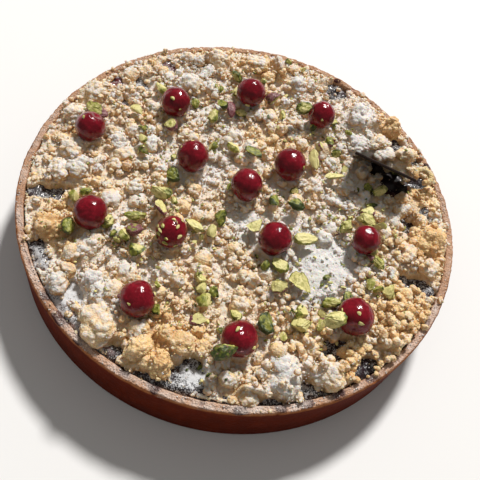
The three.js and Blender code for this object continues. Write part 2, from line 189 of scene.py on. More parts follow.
def count(name, description, default):
    return bpy.props.IntProperty(name=name, description=description, default=default, min=0)


def colour(name, description, default):
    return bpy.props.FloatVectorProperty(
        name=name, description=description, default=default, subtype="COLOR", min=0.0, max=1.0
    )


class TartSizes(bpy.types.PropertyGroup):
    """Sizes and numbers of the tart's pieces."""

    wall: length("Crust wall", "Thickness of the crust's wall", 0.0046)
    base: length("Crust base", "Thickness of the crust's base", 0.005)
    bed_spacing: length("Bed spacing", "Distance between the points of the crumble bed", 0.0007)
    jam_spacing: length("Jam spacing", "Distance between the points of the berry jam", 0.001)
    berry: length("Berry radius", "Radius of the berries in the filling", 0.0046)
    big_clumps: count("Big clumps", "Number of clumps of 4 to 7 mm radius", 105)
    clumps: count("Clumps", "Number of clumps of 3 to 4 mm radius", 95)
    golden_crumbs: count("Golden crumbs", "Number of crumbs piled near the front right", 300)
    crumbs: count("Crumbs", "Number of crumbs of 2 to 3 mm radius", 580)
    small_crumbs: count("Small crumbs", "Number of crumbs of 1 to 2 mm radius", 1250)
    crumble_grains: count("Grains", "Number of crumbs under 1 mm radius", 4200)
    nut_bits: count("Nut bits", "Number of nut bits under 3 mm", 560)
    sugar_grains: count("Sugar grains", "Number of loose grains of sugar", 1600)
    sugar: bpy.props.FloatProperty(
        name="Sugar", description="How much sugar lies everywhere", default=0.69, min=0.0, max=1.0
    )
    seed: count("Seed", "Start of the random numbers", 7)


class TartColours(bpy.types.PropertyGroup):
    """Colours of the tart's finishes."""

    # The wall's colour is the baked crust darkened with painted shade, the shade of a wall that faces away
    # from the light.
    side: colour("Crust side", "Baked wall darkened with painted shade", (0.105, 0.0115, 0.0022))
    rim: colour("Crust rim", "Baked rim under the sugar", (0.50, 0.29, 0.18))
    crumb_pale: colour("Pale crumble", "Least baked crumble", (0.86, 0.69, 0.49))
    crumb_golden: colour("Golden crumble", "Baked crumble", (0.86, 0.62, 0.32))
    crumb_brown: colour("Brown crumble", "Most baked crumble", (0.60, 0.33, 0.13))
    crumb_side_shade: colour("Crumble side", "Painted shade on the sides of crumbs, under no sugar", (0.69, 0.45, 0.25))
    sugar: colour("Sugar", "Icing sugar", (0.69, 0.705, 0.725))
    berry: colour("Berry", "Cooked dark berries", (0.011, 0.009, 0.013))
    cherry: colour("Cherry", "Glazed cherries", (0.17, 0.0025, 0.010))
    nut_pale: colour("Pale nut", "Yellow inside of the nuts", (0.74, 0.67, 0.28))
    nut_green: colour("Green nut", "Green of the nuts", (0.30, 0.31, 0.045))
    nut_dark: colour("Dark nut", "Darkest green of the nuts", (0.045, 0.065, 0.012))
    nut_skin: colour("Nut skin", "Purple brown skin of the nuts", (0.18, 0.045, 0.06))
    chocolate: colour("Chocolate", "Dark chocolate", (0.017, 0.008, 0.005))
    floor: colour("Floor", "Studio floor", (0.86, 0.86, 0.86))


# ---------------------------------------------------------------- shared geometry


def smooth_step(low, high, value):
    """0 below low, 1 above high and a soft rise between; falls where low is above high."""
    t = np.clip((value - low) / (high - low), 0.0, 1.0)
    return t * t * (3.0 - 2.0 * t)


class Grain:
    """Seeded smooth noise from -1 to 1 for arrays of points."""

    def __init__(self, seed, size=32):
        self.cells = np.random.default_rng(seed).uniform(-1.0, 1.0, (size, size, size))
        self.size = size

    def __call__(self, points):
        low = np.floor(points).astype(int)
        part = points - low
        part = part * part * (3.0 - 2.0 * part)
        total = np.zeros(points.shape[:-1])
        for corner in np.ndindex(2, 2, 2):
            weight = np.prod(np.where(corner, part, 1.0 - part), axis=-1)
            at = (low + corner) % self.size
            total += weight * self.cells[at[..., 0], at[..., 1], at[..., 2]]
        return total


def spots(table, x, y):
    """Sum of round soft spots, from rows of x, y, reach and amount, at places in mm."""
    total = np.zeros(np.shape(x))
    for cx, cy, reach, amount in table:
        total += amount * np.exp(-((x - cx) ** 2 + (y - cy) ** 2) / (reach * reach))
    return total


def place_at(heading, away):
    """x and y of a place from its direction in degrees and its distance from the middle."""
    turn = math.radians(heading)
    return away * math.cos(turn), away * math.sin(turn)


def layer(x, y, z=0.0):
    """Points at one height, for noise."""
    return np.stack([np.asarray(x), np.asarray(y), np.full(np.shape(x), z)], axis=-1)


PATCH_NOISE = Grain(101)


def sugar_at(x, y):
    """How much sugar lies at places in mm."""
    points = layer(x, y)
    patches = 0.14 * PATCH_NOISE(points / 13.0) + 0.10 * PATCH_NOISE(points / 5.0 + 9.0)
    return bpy.context.scene.tart_sizes.sugar + patches + spots(SUGAR_SPOTS, x, y)


def brown_at(x, y):
    """How far the crumble is baked at places in mm."""
    return 0.38 + 0.16 * PATCH_NOISE(layer(x, y, 5.0) / 9.0) + spots(BROWN_SPOTS, x, y)


def unit_sphere(subdivisions):
    """Points and triangles of an icosphere of radius 1."""
    bm = bmesh.new()
    bmesh.ops.create_icosphere(bm, subdivisions=subdivisions, radius=1.0)
    points = np.array([v.co[:] for v in bm.verts])
    points /= np.linalg.norm(points, axis=1, keepdims=True)
    triangles = np.array([[v.index for v in face.verts] for face in bm.faces])
    bm.free()
    return points, triangles


def joined_mesh(name, clusters, crisp=None):
    """One mesh object from (points in mm, triangles, {attribute: values}) clusters."""
    points, triangles, values, offset = [], [], {}, 0
    for places, corners, attributes in clusters:
        copies = places.shape[0]
        shift = offset + np.arange(copies)[:, None, None] * places.shape[1]
        points.append(places.reshape(-1, 3))
        triangles.append((corners[None] + shift).reshape(-1, 3))
        for key, value in attributes.items():
            width = 3 if np.ndim(value) == 3 else 1
            values.setdefault(key, []).append(np.broadcast_to(
                value, places.shape[:2] + ((3,) if width == 3 else ())).reshape(-1, width))
        offset += copies * places.shape[1]
    points, triangles = np.concatenate(points) * MM, np.concatenate(triangles)
    mesh = bpy.data.meshes.new(name)
    mesh.vertices.add(len(points))
    mesh.vertices.foreach_set("co", points.astype(np.float32).ravel())
    mesh.loops.add(triangles.size)
    mesh.loops.foreach_set("vertex_index", triangles.astype(np.int32).ravel())
    mesh.polygons.add(len(triangles))
    mesh.polygons.foreach_set("loop_start", np.arange(0, triangles.size, 3, dtype=np.int32))
    mesh.update(calc_edges=True)
    for key, value in values.items():
        paint(mesh, key, np.concatenate(value))
    return finished(name, mesh, crisp)


def paint(mesh, key, value):
    """Stores one number or vector per point."""
    vector = value.ndim == 2 and value.shape[1] == 3
    layer = mesh.attributes.new(key, "FLOAT_VECTOR" if vector else "FLOAT", "POINT")
    layer.data.foreach_set("vector" if vector else "value", value.astype(np.float32).ravel())


def mesh_from(bm, name):
    """The mesh of a bmesh, which is freed."""
    mesh = bpy.data.meshes.new(name)
    bm.to_mesh(mesh)
    bm.free()
    return mesh


def points_of(mesh):
    """Places of a mesh's points, in mm."""
    return np.array([v.co[:] for v in mesh.vertices]) / MM


def linked(name, data):
    """A new object in the scene."""
    obj = bpy.data.objects.new(name, data)
    bpy.context.scene.collection.objects.link(obj)
    return obj


def finished(name, mesh, crisp=None):
    """A smooth object, with crisp edges past an angle in radians."""
    mesh.shade_smooth()
    if crisp is not None:
        mesh.set_sharp_from_angle(angle=crisp)
    return linked(name, mesh)


def hand_over(obj, material, nodes=()):
    """The piece gets its finish, rides on the tart and stands for its CAD nodes."""
    obj.data.materials.append(material)
    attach(obj, BODY)
    if nodes:
        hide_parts(*nodes)


def reach_of_spheres(directions, centres, radii, core):
    """Distance along each direction (V,3) to the outside of N sets of K spheres."""
    along = np.einsum("vi,nki->nvk", directions, centres)
    inside = along**2 - np.sum(centres**2, axis=2)[:, None, :] + (radii**2)[:, None, :]
    hit = np.where(inside > 0.0, along + np.sqrt(np.maximum(inside, 0.0)), 0.0)
    return np.maximum(hit.max(axis=2), core[:, None])


def crest_of(reach, body):
    """0 in the creases between knobs, 1 on the knobs, from the reach with and without them."""
    over = np.maximum(reach - body, 0.0)
    return np.clip(over / np.maximum(np.percentile(over, 85, axis=1, keepdims=True), 1e-6), 0.0, 1.0)


def random_directions(rng, *shape):
    """Unit vectors that point anywhere."""
    v = rng.normal(size=(*shape, 3))
    return v / np.linalg.norm(v, axis=-1, keepdims=True)


def node_tree(*names):
    """A search tree over CAD nodes."""
    points, polygons = [], []
    for name in names:
        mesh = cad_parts[name].data
        polygons += [[len(points) + i for i in polygon.vertices] for polygon in mesh.polygons]
        points += [v.co.copy() for v in mesh.vertices]
    return BVHTree.FromPolygons(points, polygons)


def heights(tree, upwards):
    """Height in mm of the first surface met from above or below, on the whole grid; nan where none is."""
    coarse = np.full((GRID_COUNT // 2 + 1,) * 2, np.nan)
    start, way = (0.0, Vector((0, 0, 1))) if upwards else (0.2, Vector((0, 0, -1)))
    for j, y in enumerate(GRID_LINE[::2]):
        for i, x in enumerate(GRID_LINE[::2]):
            if x * x + y * y < GRID_HALF * GRID_HALF:
                hit = tree.ray_cast(Vector((x * MM, y * MM, start)), way)[0]
                if hit is not None:
                    coarse[j, i] = hit.z / MM
    return coarse


def finer(coarse):
    """The 1 mm grid on 0.5 mm steps."""
    fine = np.empty((GRID_COUNT, GRID_COUNT))
    fine[::2, ::2] = coarse
    fine[1::2, ::2] = (coarse[1:] + coarse[:-1]) / 2
    fine[:, 1::2] = (fine[:, 2::2] + fine[:, :-2:2]) / 2
    return fine


NEIGHBOURS = [(way, axis) for axis in (0, 1) for way in (1, -1)]


def spread(field, steps, slope):
    """Lowest value within reach, growing by slope mm a step: a distance field."""
    for _ in range(steps):
        for way, axis in NEIGHBOURS:
            field = np.minimum(field, np.roll(field, way, axis) + slope)
    return field


def raise_to(field, w, there, level):
    """Raises a field to a level in a part of a window, where it is lower."""
    field[w] = np.where(there, np.maximum(field[w], level), field[w])


class Ground:
    """The crumble's changing surface, in mm, with what must stay clear above it."""

    def __init__(self):
        node_names = [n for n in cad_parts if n.startswith(("cherry", "pistachio"))]
        heap = heights(node_tree("crumble_topping"), upwards=False)
        inside = ~np.isnan(heap)
        self.heap = finer(np.where(inside, heap, JAM_LEVEL))
        self.roof, plaque = (self.lowest(node_tree(*names)) for names in (node_names, ["chocolate_plaque"]))
        x, y = GRID_PLACES
        away = np.hypot(x, y)
        inward = np.minimum(1.0, HEAP_REACH / np.maximum(away, 1.0))
        self.heap = self.heap[self.cells_of(y * inward), self.cells_of(x * inward)]
        brink = Grain(71)
        rim_level = SHELL_TOP + 0.6 + 1.3 * brink(layer(x, y) / 6.0)
        rise = smooth_step(98.0, 108.0, away)
        self.heap = np.maximum(self.heap, JAM_LEVEL + (rim_level - JAM_LEVEL) * rise)
        # Distance from the toppings, under which the core stays up to carry them.
        under = spread(np.where(self.roof < self.heap + 0.8, 0.0, 99.0), 8, GRID_STEP)
        self.heap = np.minimum(self.heap, np.maximum(plaque - 0.5, JAM_LEVEL + 3.0))
        self.roof = np.minimum(self.roof, plaque)
        edge = self.bays(x, y) + 0.9 * brink(layer(x, y, 9.0) / 2.6)
        self.edge = edge = np.where(away < 121.5, np.maximum(edge, 0.0), 0.0)
        drop = BED_DROP * smooth_step(0.0, 2.0, under) * (1.0 - 0.62 * smooth_step(106.0, 116.0, away))
        low = JAM_LEVEL - 4.0
        self.top = low + (self.heap - drop - low) * smooth_step(0.0, 2.0, edge)
        self.top[edge <= 0.0] = low
        self.top[away > CRUMBLE_REACH] = RIM_LEVEL
        self.core = self.top.copy()

    @staticmethod
    def cells_of(values):
        """Nearest grid rows or columns of places in mm."""
        return np.clip(np.rint((values + GRID_HALF) / GRID_STEP).astype(int), 0, GRID_COUNT - 1)

    @staticmethod
    def lowest(tree):
        """Height of the underside of what hangs over the heap."""
        roof = heights(tree, upwards=True)
        fine = finer(np.where(np.isnan(roof), OPEN_SKY, roof))
        return np.where(fine > 100.0, OPEN_SKY, fine)

    def open_at(self, x, y):
        """Whether nothing hangs over a place."""
        return self.at(x, y, self.roof) > 100.0

    @staticmethod
    def bays(x, y):
        """Distance in mm from the nearest bay's outline, below 0 inside."""
        nearest = np.full(x.shape, 99.0)
        for heading, away, along, across, _ in BAYS:
            c, s = math.cos(math.radians(heading)), math.sin(math.radians(heading))
            u, v = (c * x + s * y - away) / across, (c * y - s * x) / along
            reach = np.hypot(u, v)
            slope = np.maximum(np.hypot(u / across, v / along), 1e-6)
            nearest = np.minimum(nearest, reach * (reach - 1.0) / slope)
        return nearest

    def cover(self, points):
        """Raises the ground to the points of pieces that now lie on it."""
        x, y, z = points.reshape(-1, 3).T
        np.maximum.at(self.top, (self.cells_of(y), self.cells_of(x)), z)

    def window(self, x, y, reach):
        """Slices of the grid around a place."""
        return tuple(slice(max(int((v - reach + GRID_HALF) / GRID_STEP), 0),
                           min(int((v + reach + GRID_HALF) / GRID_STEP) + 2, GRID_COUNT)) for v in (y, x))

    def at(self, x, y, field=None):
        """A field's value at places, between the samples."""
        field = self.top if field is None else field
        u, v = (np.clip((np.asarray(w) + GRID_HALF) / GRID_STEP, 0, GRID_COUNT - 1.001) for w in (x, y))
        i, j = u.astype(int), v.astype(int)
        a, b = u - i, v - j
        low = field[j, i] * (1 - a) + field[j, i + 1] * a
        high = field[j + 1, i] * (1 - a) + field[j + 1, i + 1] * a
        return low * (1 - b) + high * b

    def dome(self, x, y, radius, tall):
        """Window, heights of a dome over its middle and the mask of where it is."""
        w = self.window(x, y, radius)
        away = (GRID_LINE[w[1]][None, :] - x) ** 2 + (GRID_LINE[w[0]][:, None] - y) ** 2
        there = away < radius * radius
        return w, tall * np.sqrt(np.maximum(1.0 - away / radius**2, 0.0)), there

    def settle(self, x, y, radius, tall, sink, allowance):
        """Height of a crumb's middle on the ground, or None where it would be too high or hit a topping."""
        w, dome, there = self.dome(x, y, radius, tall)
        if not there.any():
            return None
        middle = self.top[w][there].mean() + sink * radius
        top = middle + dome
        if middle + tall > self.at(x, y, self.heap) + allowance:
            return None
        if (top[there] > self.roof[w][there] - 0.1).any():
            return None
        raise_to(self.top, w, there, top)
        return middle


@functools.cache
def ground():
    """The one surface that all toppings share, made on first use."""
    return Ground()


def node_pose(name, level=False):
    """Middle, axes (rows, longest first, or else the level one) and half sizes of a CAD node, in mm."""
    points = np.array([v.co[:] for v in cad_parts[name].data.vertices]) / MM
    points = np.unique(np.round(points, 4), axis=0)
    middle = points.mean(axis=0)
    axes = np.linalg.svd(points - middle, full_matrices=False)[2]
    if axes[2, 2] < 0.0:
        axes[2] *= -1.0
    if level:
        axes[0] = np.cross(axes[2], (0.0, 0.0, 1.0))
        axes[0] /= np.linalg.norm(axes[0])
    axes[1] = np.cross(axes[2], axes[0])
    along = (points - middle) @ axes.T
    low, high = along.min(axis=0), along.max(axis=0)
    return middle + (low + high) / 2 @ axes, axes, (high - low) / 2


# ---------------------------------------------------------------- shared finishes


class Shader:
    """Short calls for the nodes that the finishes are made of."""

    def __init__(self, tree):
        self.tree = tree

    def node(self, kind, inputs=None, **settings):
        made = self.tree.nodes.new(kind)
        for key, value in settings.items():
            setattr(made, key, value)
        for key, value in (inputs or {}).items():
            self.feed(made.inputs[key], value)
        return made

    def feed(self, socket, value):
        if isinstance(value, bpy.types.NodeSocket):
            self.tree.links.new(value, socket)
        elif socket.type == "RGBA" and len(value) == 3:
            socket.default_value = (*value, 1.0)
        else:
            socket.default_value = value

    def math(self, operation, a, b):
        return self.node("ShaderNodeMath", {0: a, 1: b}, operation=operation).outputs[0]

    def add(self, *terms):
        """Sum of sockets and numbers; a (value, weight) pair is multiplied first."""
        total = None
        for term in terms:
            term = self.times(*term) if isinstance(term, tuple) else term
            total = term if total is None else self.math("ADD", total, term)
        return total

    def times(self, a, b):
        return self.math("MULTIPLY", a, b)

    def noise(self, vector, scale, detail=2.0, rough=0.5, distortion=0.0):
        return self.node("ShaderNodeTexNoise", {
            "Vector": vector, "Scale": scale, "Detail": detail, "Roughness": rough,
            "Distortion": distortion}).outputs[0]

    def cells(self, vector, scale):
        return self.node("ShaderNodeTexVoronoi", {"Vector": vector, "Scale": scale}).outputs["Distance"]

    def stretched(self, vector, scale):
        return self.node("ShaderNodeMapping", {"Vector": vector, "Scale": scale}).outputs[0]

    def band(self, value, low, high, to_low=0.0, to_high=1.0):
        """A soft rise between two values."""
        made = self.node("ShaderNodeMapRange", {
            "Value": value, "From Min": low, "From Max": high, "To Min": to_low, "To Max": to_high},
            interpolation_type="SMOOTHSTEP")
        return made.outputs[0]

    def mix(self, share, a, b):
        made = self.node("ShaderNodeMix", data_type="RGBA")
        for index, value in ((0, share), (6, a), (7, b)):
            self.feed(made.inputs[index], value)
        return made.outputs[2]

    def ramp(self, value, stops):
        made = self.node("ShaderNodeValToRGB", {"Fac": value})
        elements = made.color_ramp.elements
        while len(elements) < len(stops):
            elements.new(0.5)
        for element, (place, shade) in zip(elements, stops):
            element.position = place
            element.color = (*shade, 1.0)
        return made.outputs["Color"]

    def attribute(self, name, output="Fac"):
        return self.node("ShaderNodeAttribute", attribute_name=name).outputs[output]

    def place(self):
        return self.node("ShaderNodeTexCoord").outputs["Object"]

    def up(self):
        """1 on faces that look up, 0 on upright ones, -1 on those that look down."""
        normal = self.node("ShaderNodeTexCoord").outputs["Normal"]
        return self.node("ShaderNodeSeparateXYZ", {0: normal}).outputs["Z"]

    def bump(self, height, distance, strength):
        return self.node("ShaderNodeBump", {
            "Height": height, "Distance": distance, "Strength": strength}).outputs["Normal"]


def shared_group(name, inputs, outputs, build):
    """A shader node group, built once."""
    group = bpy.data.node_groups.get(name)
    if group is None:
        group = bpy.data.node_groups.new(name, "ShaderNodeTree")
        for label, default in inputs:
            made = group.interface.new_socket(label, in_out="INPUT", socket_type="NodeSocketFloat")
            made.default_value = default
        for label in outputs:
            group.interface.new_socket(label, in_out="OUTPUT", socket_type="NodeSocketFloat")
        shader = Shader(group)
        entry, leave = shader.node("NodeGroupInput"), shader.node("NodeGroupOutput")
        for label, value in build(shader, entry.outputs).items():
            shader.feed(leave.inputs[label], value)
    return group


def build_sugar(shader, given):
    """Where sugar lies: on what faces up, in patches, with a fine grain."""
    place = shader.place()
    patches = shader.noise(place, 230.0)
    fine = shader.noise(place, 1700.0, 2.0, 0.65)
    specks = shader.cells(place, 1300.0)
    raw = shader.add(
        (shader.up(), given["Facing Up"]), (patches, 0.7), (fine, 1.35), (given["Amount"], 1.3), -2.16)
    mask = shader.times(shader.band(raw, 0.0, 1.15), 0.84)
    return {"Mask": mask, "Height": shader.add(fine, (specks, -0.6))}


def sugar_dust(shader, facing_up=0.95):
    """Mask and grain height of the sugar on a finish, by the piece's attribute."""
    group = shared_group(
        "Sugar Dust", (("Amount", 0.5), ("Facing Up", 0.95)), ("Mask", "Height"), build_sugar)
    made = shader.node("ShaderNodeGroup", node_tree=group)
    shader.feed(made.inputs["Amount"], shader.attribute("dust"))
    shader.feed(made.inputs["Facing Up"], facing_up)
    return made.outputs["Mask"], made.outputs["Height"]


def build_grit(shader, given):
    """Granular relief like that of baked dough: round grains, and the mask of the creases between them, where
    shade is painted.
    """
    place = shader.place()
    grains = shader.cells(place, given["Scale"])
    fine = shader.noise(place, shader.times(given["Scale"], 2.6), 2.0, 0.6)
    height = shader.add(shader.math("SUBTRACT", 1.0, grains), (fine, 0.35))
    return {"Height": height, "Crease": shader.band(grains, 0.45, 0.85)}


def grit(shader, scale):
    """Relief of baked dough and the mask of its creases for painted shade."""
    group = shared_group("Grit", (("Scale", 900.0),), ("Height", "Crease"), build_grit)
    made = shader.node("ShaderNodeGroup", node_tree=group)
    made.inputs["Scale"].default_value = scale
    return made.outputs["Height"], made.outputs["Crease"]


def new_finish(name, build):
    """A material around one Principled BSDF; build fills its sockets."""
    made = bpy.data.materials.get(name)
    if made is None:
        made = bpy.data.materials.new(name)
        made.use_nodes = True
        build(Shader(made.node_tree), made.node_tree.nodes["Principled BSDF"])
    return made


def fill(shader, surface, **values):
    """Sockets of the surface, by their labels with _ for spaces."""
    for label, value in values.items():
        shader.feed(surface.inputs[label.replace("_", " ")], value)


def colours():
    return bpy.context.scene.tart_colours


def shaded(tint, *factors):
    """A colour darker or lighter by one factor, or by one for each channel."""
    return tuple(c * f for c, f in zip(tint, factors * 3 if len(factors) == 1 else factors))


def crumble_finish():
    """Baked dough, pale to brown, under sugar, with painted shade in its creases and on the sides that turn
    away from above.
    """

    def build(shader, surface):
        place, shades = shader.place(), colours()
        broad = shader.noise(place, 320.0, 3.0, 0.6)
        small = shader.noise(place, 1300.0, 2.0, 0.6)
        relief, crease = grit(shader, 900.0)
        baked = shader.add(shader.attribute("toast"), (broad, 0.5), (small, 0.35), -0.42)
        dough = shader.ramp(baked, (
            (0.0, shades.crumb_pale), (0.5, shades.crumb_golden), (1.0, shades.crumb_brown)))
        # Painted shade: the creases between the grains are pulled towards the brown.
        dough = shader.mix(shader.times(crease, 0.14), dough, shades.crumb_brown)
        # Painted shade: faces that turn away from above get the darker, warmer side colour, which stands in
        # for the warm shade on the crumbs' sides.
        side = shader.band(shader.up(), 0.85, 0.05)
        dough = shader.mix(shader.times(side, 0.7), dough, shades.crumb_side_shade)
        sugar, grain = sugar_dust(shader)
        height = shader.add(
            (relief, shader.band(sugar, 0.0, 1.0, 1.0, 0.55)), (shader.times(sugar, grain), 0.5))
        fill(shader, surface,
             Base_Color=shader.mix(sugar, dough, shades.sugar),
             Roughness=shader.band(sugar, 0.0, 1.0, 0.62, 0.9),
             Normal=shader.bump(height, 0.0006, 0.8),
             Specular_IOR_Level=0.25, Subsurface_Weight=0.34, Subsurface_Scale=0.002,
             Subsurface_Radius=(1.0, 0.5, 0.24))

    return new_finish("Crumble", build)


def jam_finish():
    """Cooked dark berries in their juice, with specks of sugar."""

    def build(shader, surface):
        place, shades = shader.place(), colours()
        tint = shader.noise(place, 180.0)
        base = shader.ramp(tint, (
            (0.35, shades.berry), (0.64, (0.022, 0.006, 0.012)), (0.8, (0.06, 0.004, 0.010))))
        base = shader.mix(shader.attribute("red"), base, (0.16, 0.004, 0.008))
        blotches = shader.band(shader.noise(place, 260.0, 3.0, 0.6), 0.42, 0.58)
        base = shader.mix(shader.times(shader.attribute("soaked"), blotches), base, (0.25, 0.15, 0.135))
        powder = shader.add(
            shader.noise(place, 1500.0, 2.0, 0.7), (shader.noise(place, 420.0), 0.8),
            (shader.attribute("dust"), 0.9))
        sugar = shader.times(shader.band(powder, 1.2, 1.38), 0.88)
        wrinkles = shader.noise(place, 700.0, 3.0, 0.6, 1.0)
        fill(shader, surface,
             Base_Color=shader.mix(sugar, base, shades.sugar),
             Roughness=shader.band(sugar, 0.0, 1.0, 0.36, 0.9),
             Coat_Weight=shader.band(sugar, 0.0, 0.6, 0.3, 0.0),
             Normal=shader.bump(shader.add(wrinkles, (sugar, 0.5)), 0.0006, 0.8))

    return new_finish("Berry Jam", build)


def crust_finish():
    """Baked shell: satin wall darkened with painted shade, dusted crumbly rim, and a painted highlight along
    the outer top edge.
    """

    def build(shader, surface):
        place, shades = shader.place(), colours()
        rim, edge = shader.attribute("rim"), shader.attribute("edge")
        broad = shader.noise(place, 60.0, 3.0, 0.6)
        fine = shader.noise(place, 900.0, 3.0, 0.65)
        pores = shader.cells(place, 420.0)
        streaks = shader.noise(shader.stretched(place, (1.0, 1.0, 0.22)), 260.0, 3.0, 0.55)
        wall = shader.ramp(shader.add((broad, 0.5), (streaks, 0.35), (fine, 0.15)), (
            (0.30, shaded(shades.side, 0.62)), (0.52, shades.side),
            (0.74, shaded(shades.side, 1.5, 1.7, 1.8))))
        top = shader.ramp(shader.add((broad, 0.4), (fine, 0.6)), (
            (0.3, (0.30, 0.14, 0.075)), (0.5, shades.rim), (0.72, (0.66, 0.45, 0.32))))
        base = shader.mix(rim, wall, top)
        # Painted highlight: the outer top edge of the wall turns orange.
        base = shader.mix(edge, base, (0.42, 0.15, 0.05))
        stain = shader.band(shader.add(shader.attribute("stain"), (fine, 0.5)), 0.55, 0.95)
        base = shader.mix(stain, base, (0.075, 0.03, 0.028))
        sugar, grain = sugar_dust(shader, 0.55)
        sand = grit(shader, 950.0)[0]
        height = shader.add(
            (fine, 0.5), (pores, 0.3), (shader.times(sugar, grain), 0.7), (shader.times(sand, rim), 1.4))
        fill(shader, surface,
             Base_Color=shader.mix(sugar, base, (0.76, 0.65, 0.59)),
             Roughness=shader.band(shader.add(fine, rim), 0.3, 1.3, 0.55, 0.85),
             Normal=shader.bump(height, 0.0006, 0.85), Specular_IOR_Level=0.03)

    return new_finish("Baked Crust", build)


def cherry_finish():
    """Glazed cherry: deep wet red with faint paler streaks."""

    def build(shader, surface):
        place, shades = shader.attribute("local", "Vector"), colours()
        blotch = shader.noise(place, 1.6, 3.0, 0.6, 0.6)
        veins = shader.noise(place, 6.0, 3.0, 0.6, 1.6)
        tone = shader.add((blotch, 0.6), (veins, 0.4))
        base = shader.ramp(tone, (
            (0.30, shaded(shades.cherry, 0.45, 0.4, 0.5)), (0.5, shades.cherry),
            (0.68, shaded(shades.cherry, 1.75, 3.2, 2.2))))
        ripples = shader.noise(place, 4.5, 3.0, 0.6, 0.9)
        sugar = sugar_dust(shader, 0.3)[0]
        fill(shader, surface,
             Base_Color=shader.mix(sugar, base, shades.sugar),
             Roughness=shader.band(tone, 0.3, 0.7, 0.12, 0.25),
             Normal=shader.bump(ripples, 0.0003, 0.7),
             Coat_Normal=shader.bump(ripples, 0.00022, 0.8),
             IOR=1.45, Specular_IOR_Level=0.1, Coat_Weight=1.0, Coat_Roughness=0.11, Coat_IOR=1.4,
             Subsurface_Weight=0.04, Subsurface_Scale=0.004, Subsurface_Radius=(1.0, 0.12, 0.08))

    return new_finish("Glazed Cherry", build)


def nut_finish():
    """Pistachio: green outside, yellow where broken, purple brown skin in streaks."""

    def build(shader, surface):
        place, local, shades = shader.place(), shader.attribute("local", "Vector"), colours()
        patch = shader.noise(local, 0.45, 3.0, 0.6, 0.4)
        stripes = shader.noise(shader.stretched(local, (0.25, 1.0, 1.0)), 1.3, 3.0, 0.6, 0.5)
        cut = shader.attribute("cut")
        border = shader.times(shader.band(cut, 0.0, 0.3), shader.band(cut, 0.9, 0.35))
        tone = shader.add(
            shader.attribute("tone"), (patch, 1.9), (stripes, 0.6), (cut, -0.6), (border, 0.2), -0.95)
        flesh = shader.ramp(tone, (
            (0.0, shades.nut_pale), (0.42, shades.nut_green), (0.95, shades.nut_dark)))
        skinned = shader.add(
            (shader.attribute("skin"), 0.75), (shader.noise(local, 0.7, 3.0, 0.6), 1.3), (cut, -0.7), -0.80)
        skin = shader.ramp(shader.noise(local, 1.1, 3.0, 0.7), (
            (0.3, shaded(shades.nut_skin, 0.5)), (0.5, shades.nut_skin), (0.72, (0.50, 0.30, 0.24))))
        base = shader.mix(shader.band(skinned, 0.0, 0.2), flesh, skin)
        sugar, grain = sugar_dust(shader, 0.6)
        height = shader.add(
            (stripes, 0.5), (shader.noise(place, 1600.0, 2.0, 0.6), 0.4), (sugar, grain))
        fill(shader, surface,
             Base_Color=shader.mix(sugar, base, shades.sugar),
             Roughness=shader.band(sugar, 0.0, 1.0, 0.38, 0.9),
             Normal=shader.bump(height, 0.0007, 0.85), Specular_IOR_Level=0.4)

    return new_finish("Pistachio", build)


def chocolate_finish():
    """Dark chocolate with a bloom of sugar on its upper edges."""

    def build(shader, surface):
        place, shades = shader.place(), colours()
        cloud = shader.noise(place, 90.0, 4.0, 0.6)
        fine = shader.noise(place, 900.0, 2.0, 0.6)
        base = shader.ramp(shader.add((cloud, 0.7), (fine, 0.3)), (
            (0.3, shaded(shades.chocolate, 0.7)), (0.55, shades.chocolate),
            (0.8, shaded(shades.chocolate, 1.5))))
        sugar = sugar_dust(shader, 0.9)[0]
        fill(shader, surface,
             Base_Color=shader.mix(shader.times(sugar, 0.12), base, (0.42, 0.30, 0.27)),
             Roughness=shader.band(shader.add(fine, sugar), 0.3, 1.3, 0.45, 0.75),
             Normal=shader.bump(shader.add(cloud, (fine, 0.3)), 0.0004, 0.5), Specular_IOR_Level=0.2)

    return new_finish("Dark Chocolate", build)


def sugar_finish():
    """Loose icing sugar."""

    def build(shader, surface):
        tone = shader.noise(shader.place(), 2500.0)
        fill(shader, surface,
             Base_Color=shader.ramp(tone, ((0.3, (0.74, 0.73, 0.72)), (0.7, colours().sugar))),
             Roughness=shader.band(tone, 0.3, 0.7, 0.7, 0.9))

    return new_finish("Sugar Grains", build)


# ---------------------------------------------------------------- pieces


class TartPiece:
    """What the tart's operators share."""

    bl_options = {"REGISTER", "UNDO"}

    def execute(self, context):
        self.make(context.scene.tart_sizes)
        return {"FINISHED"}


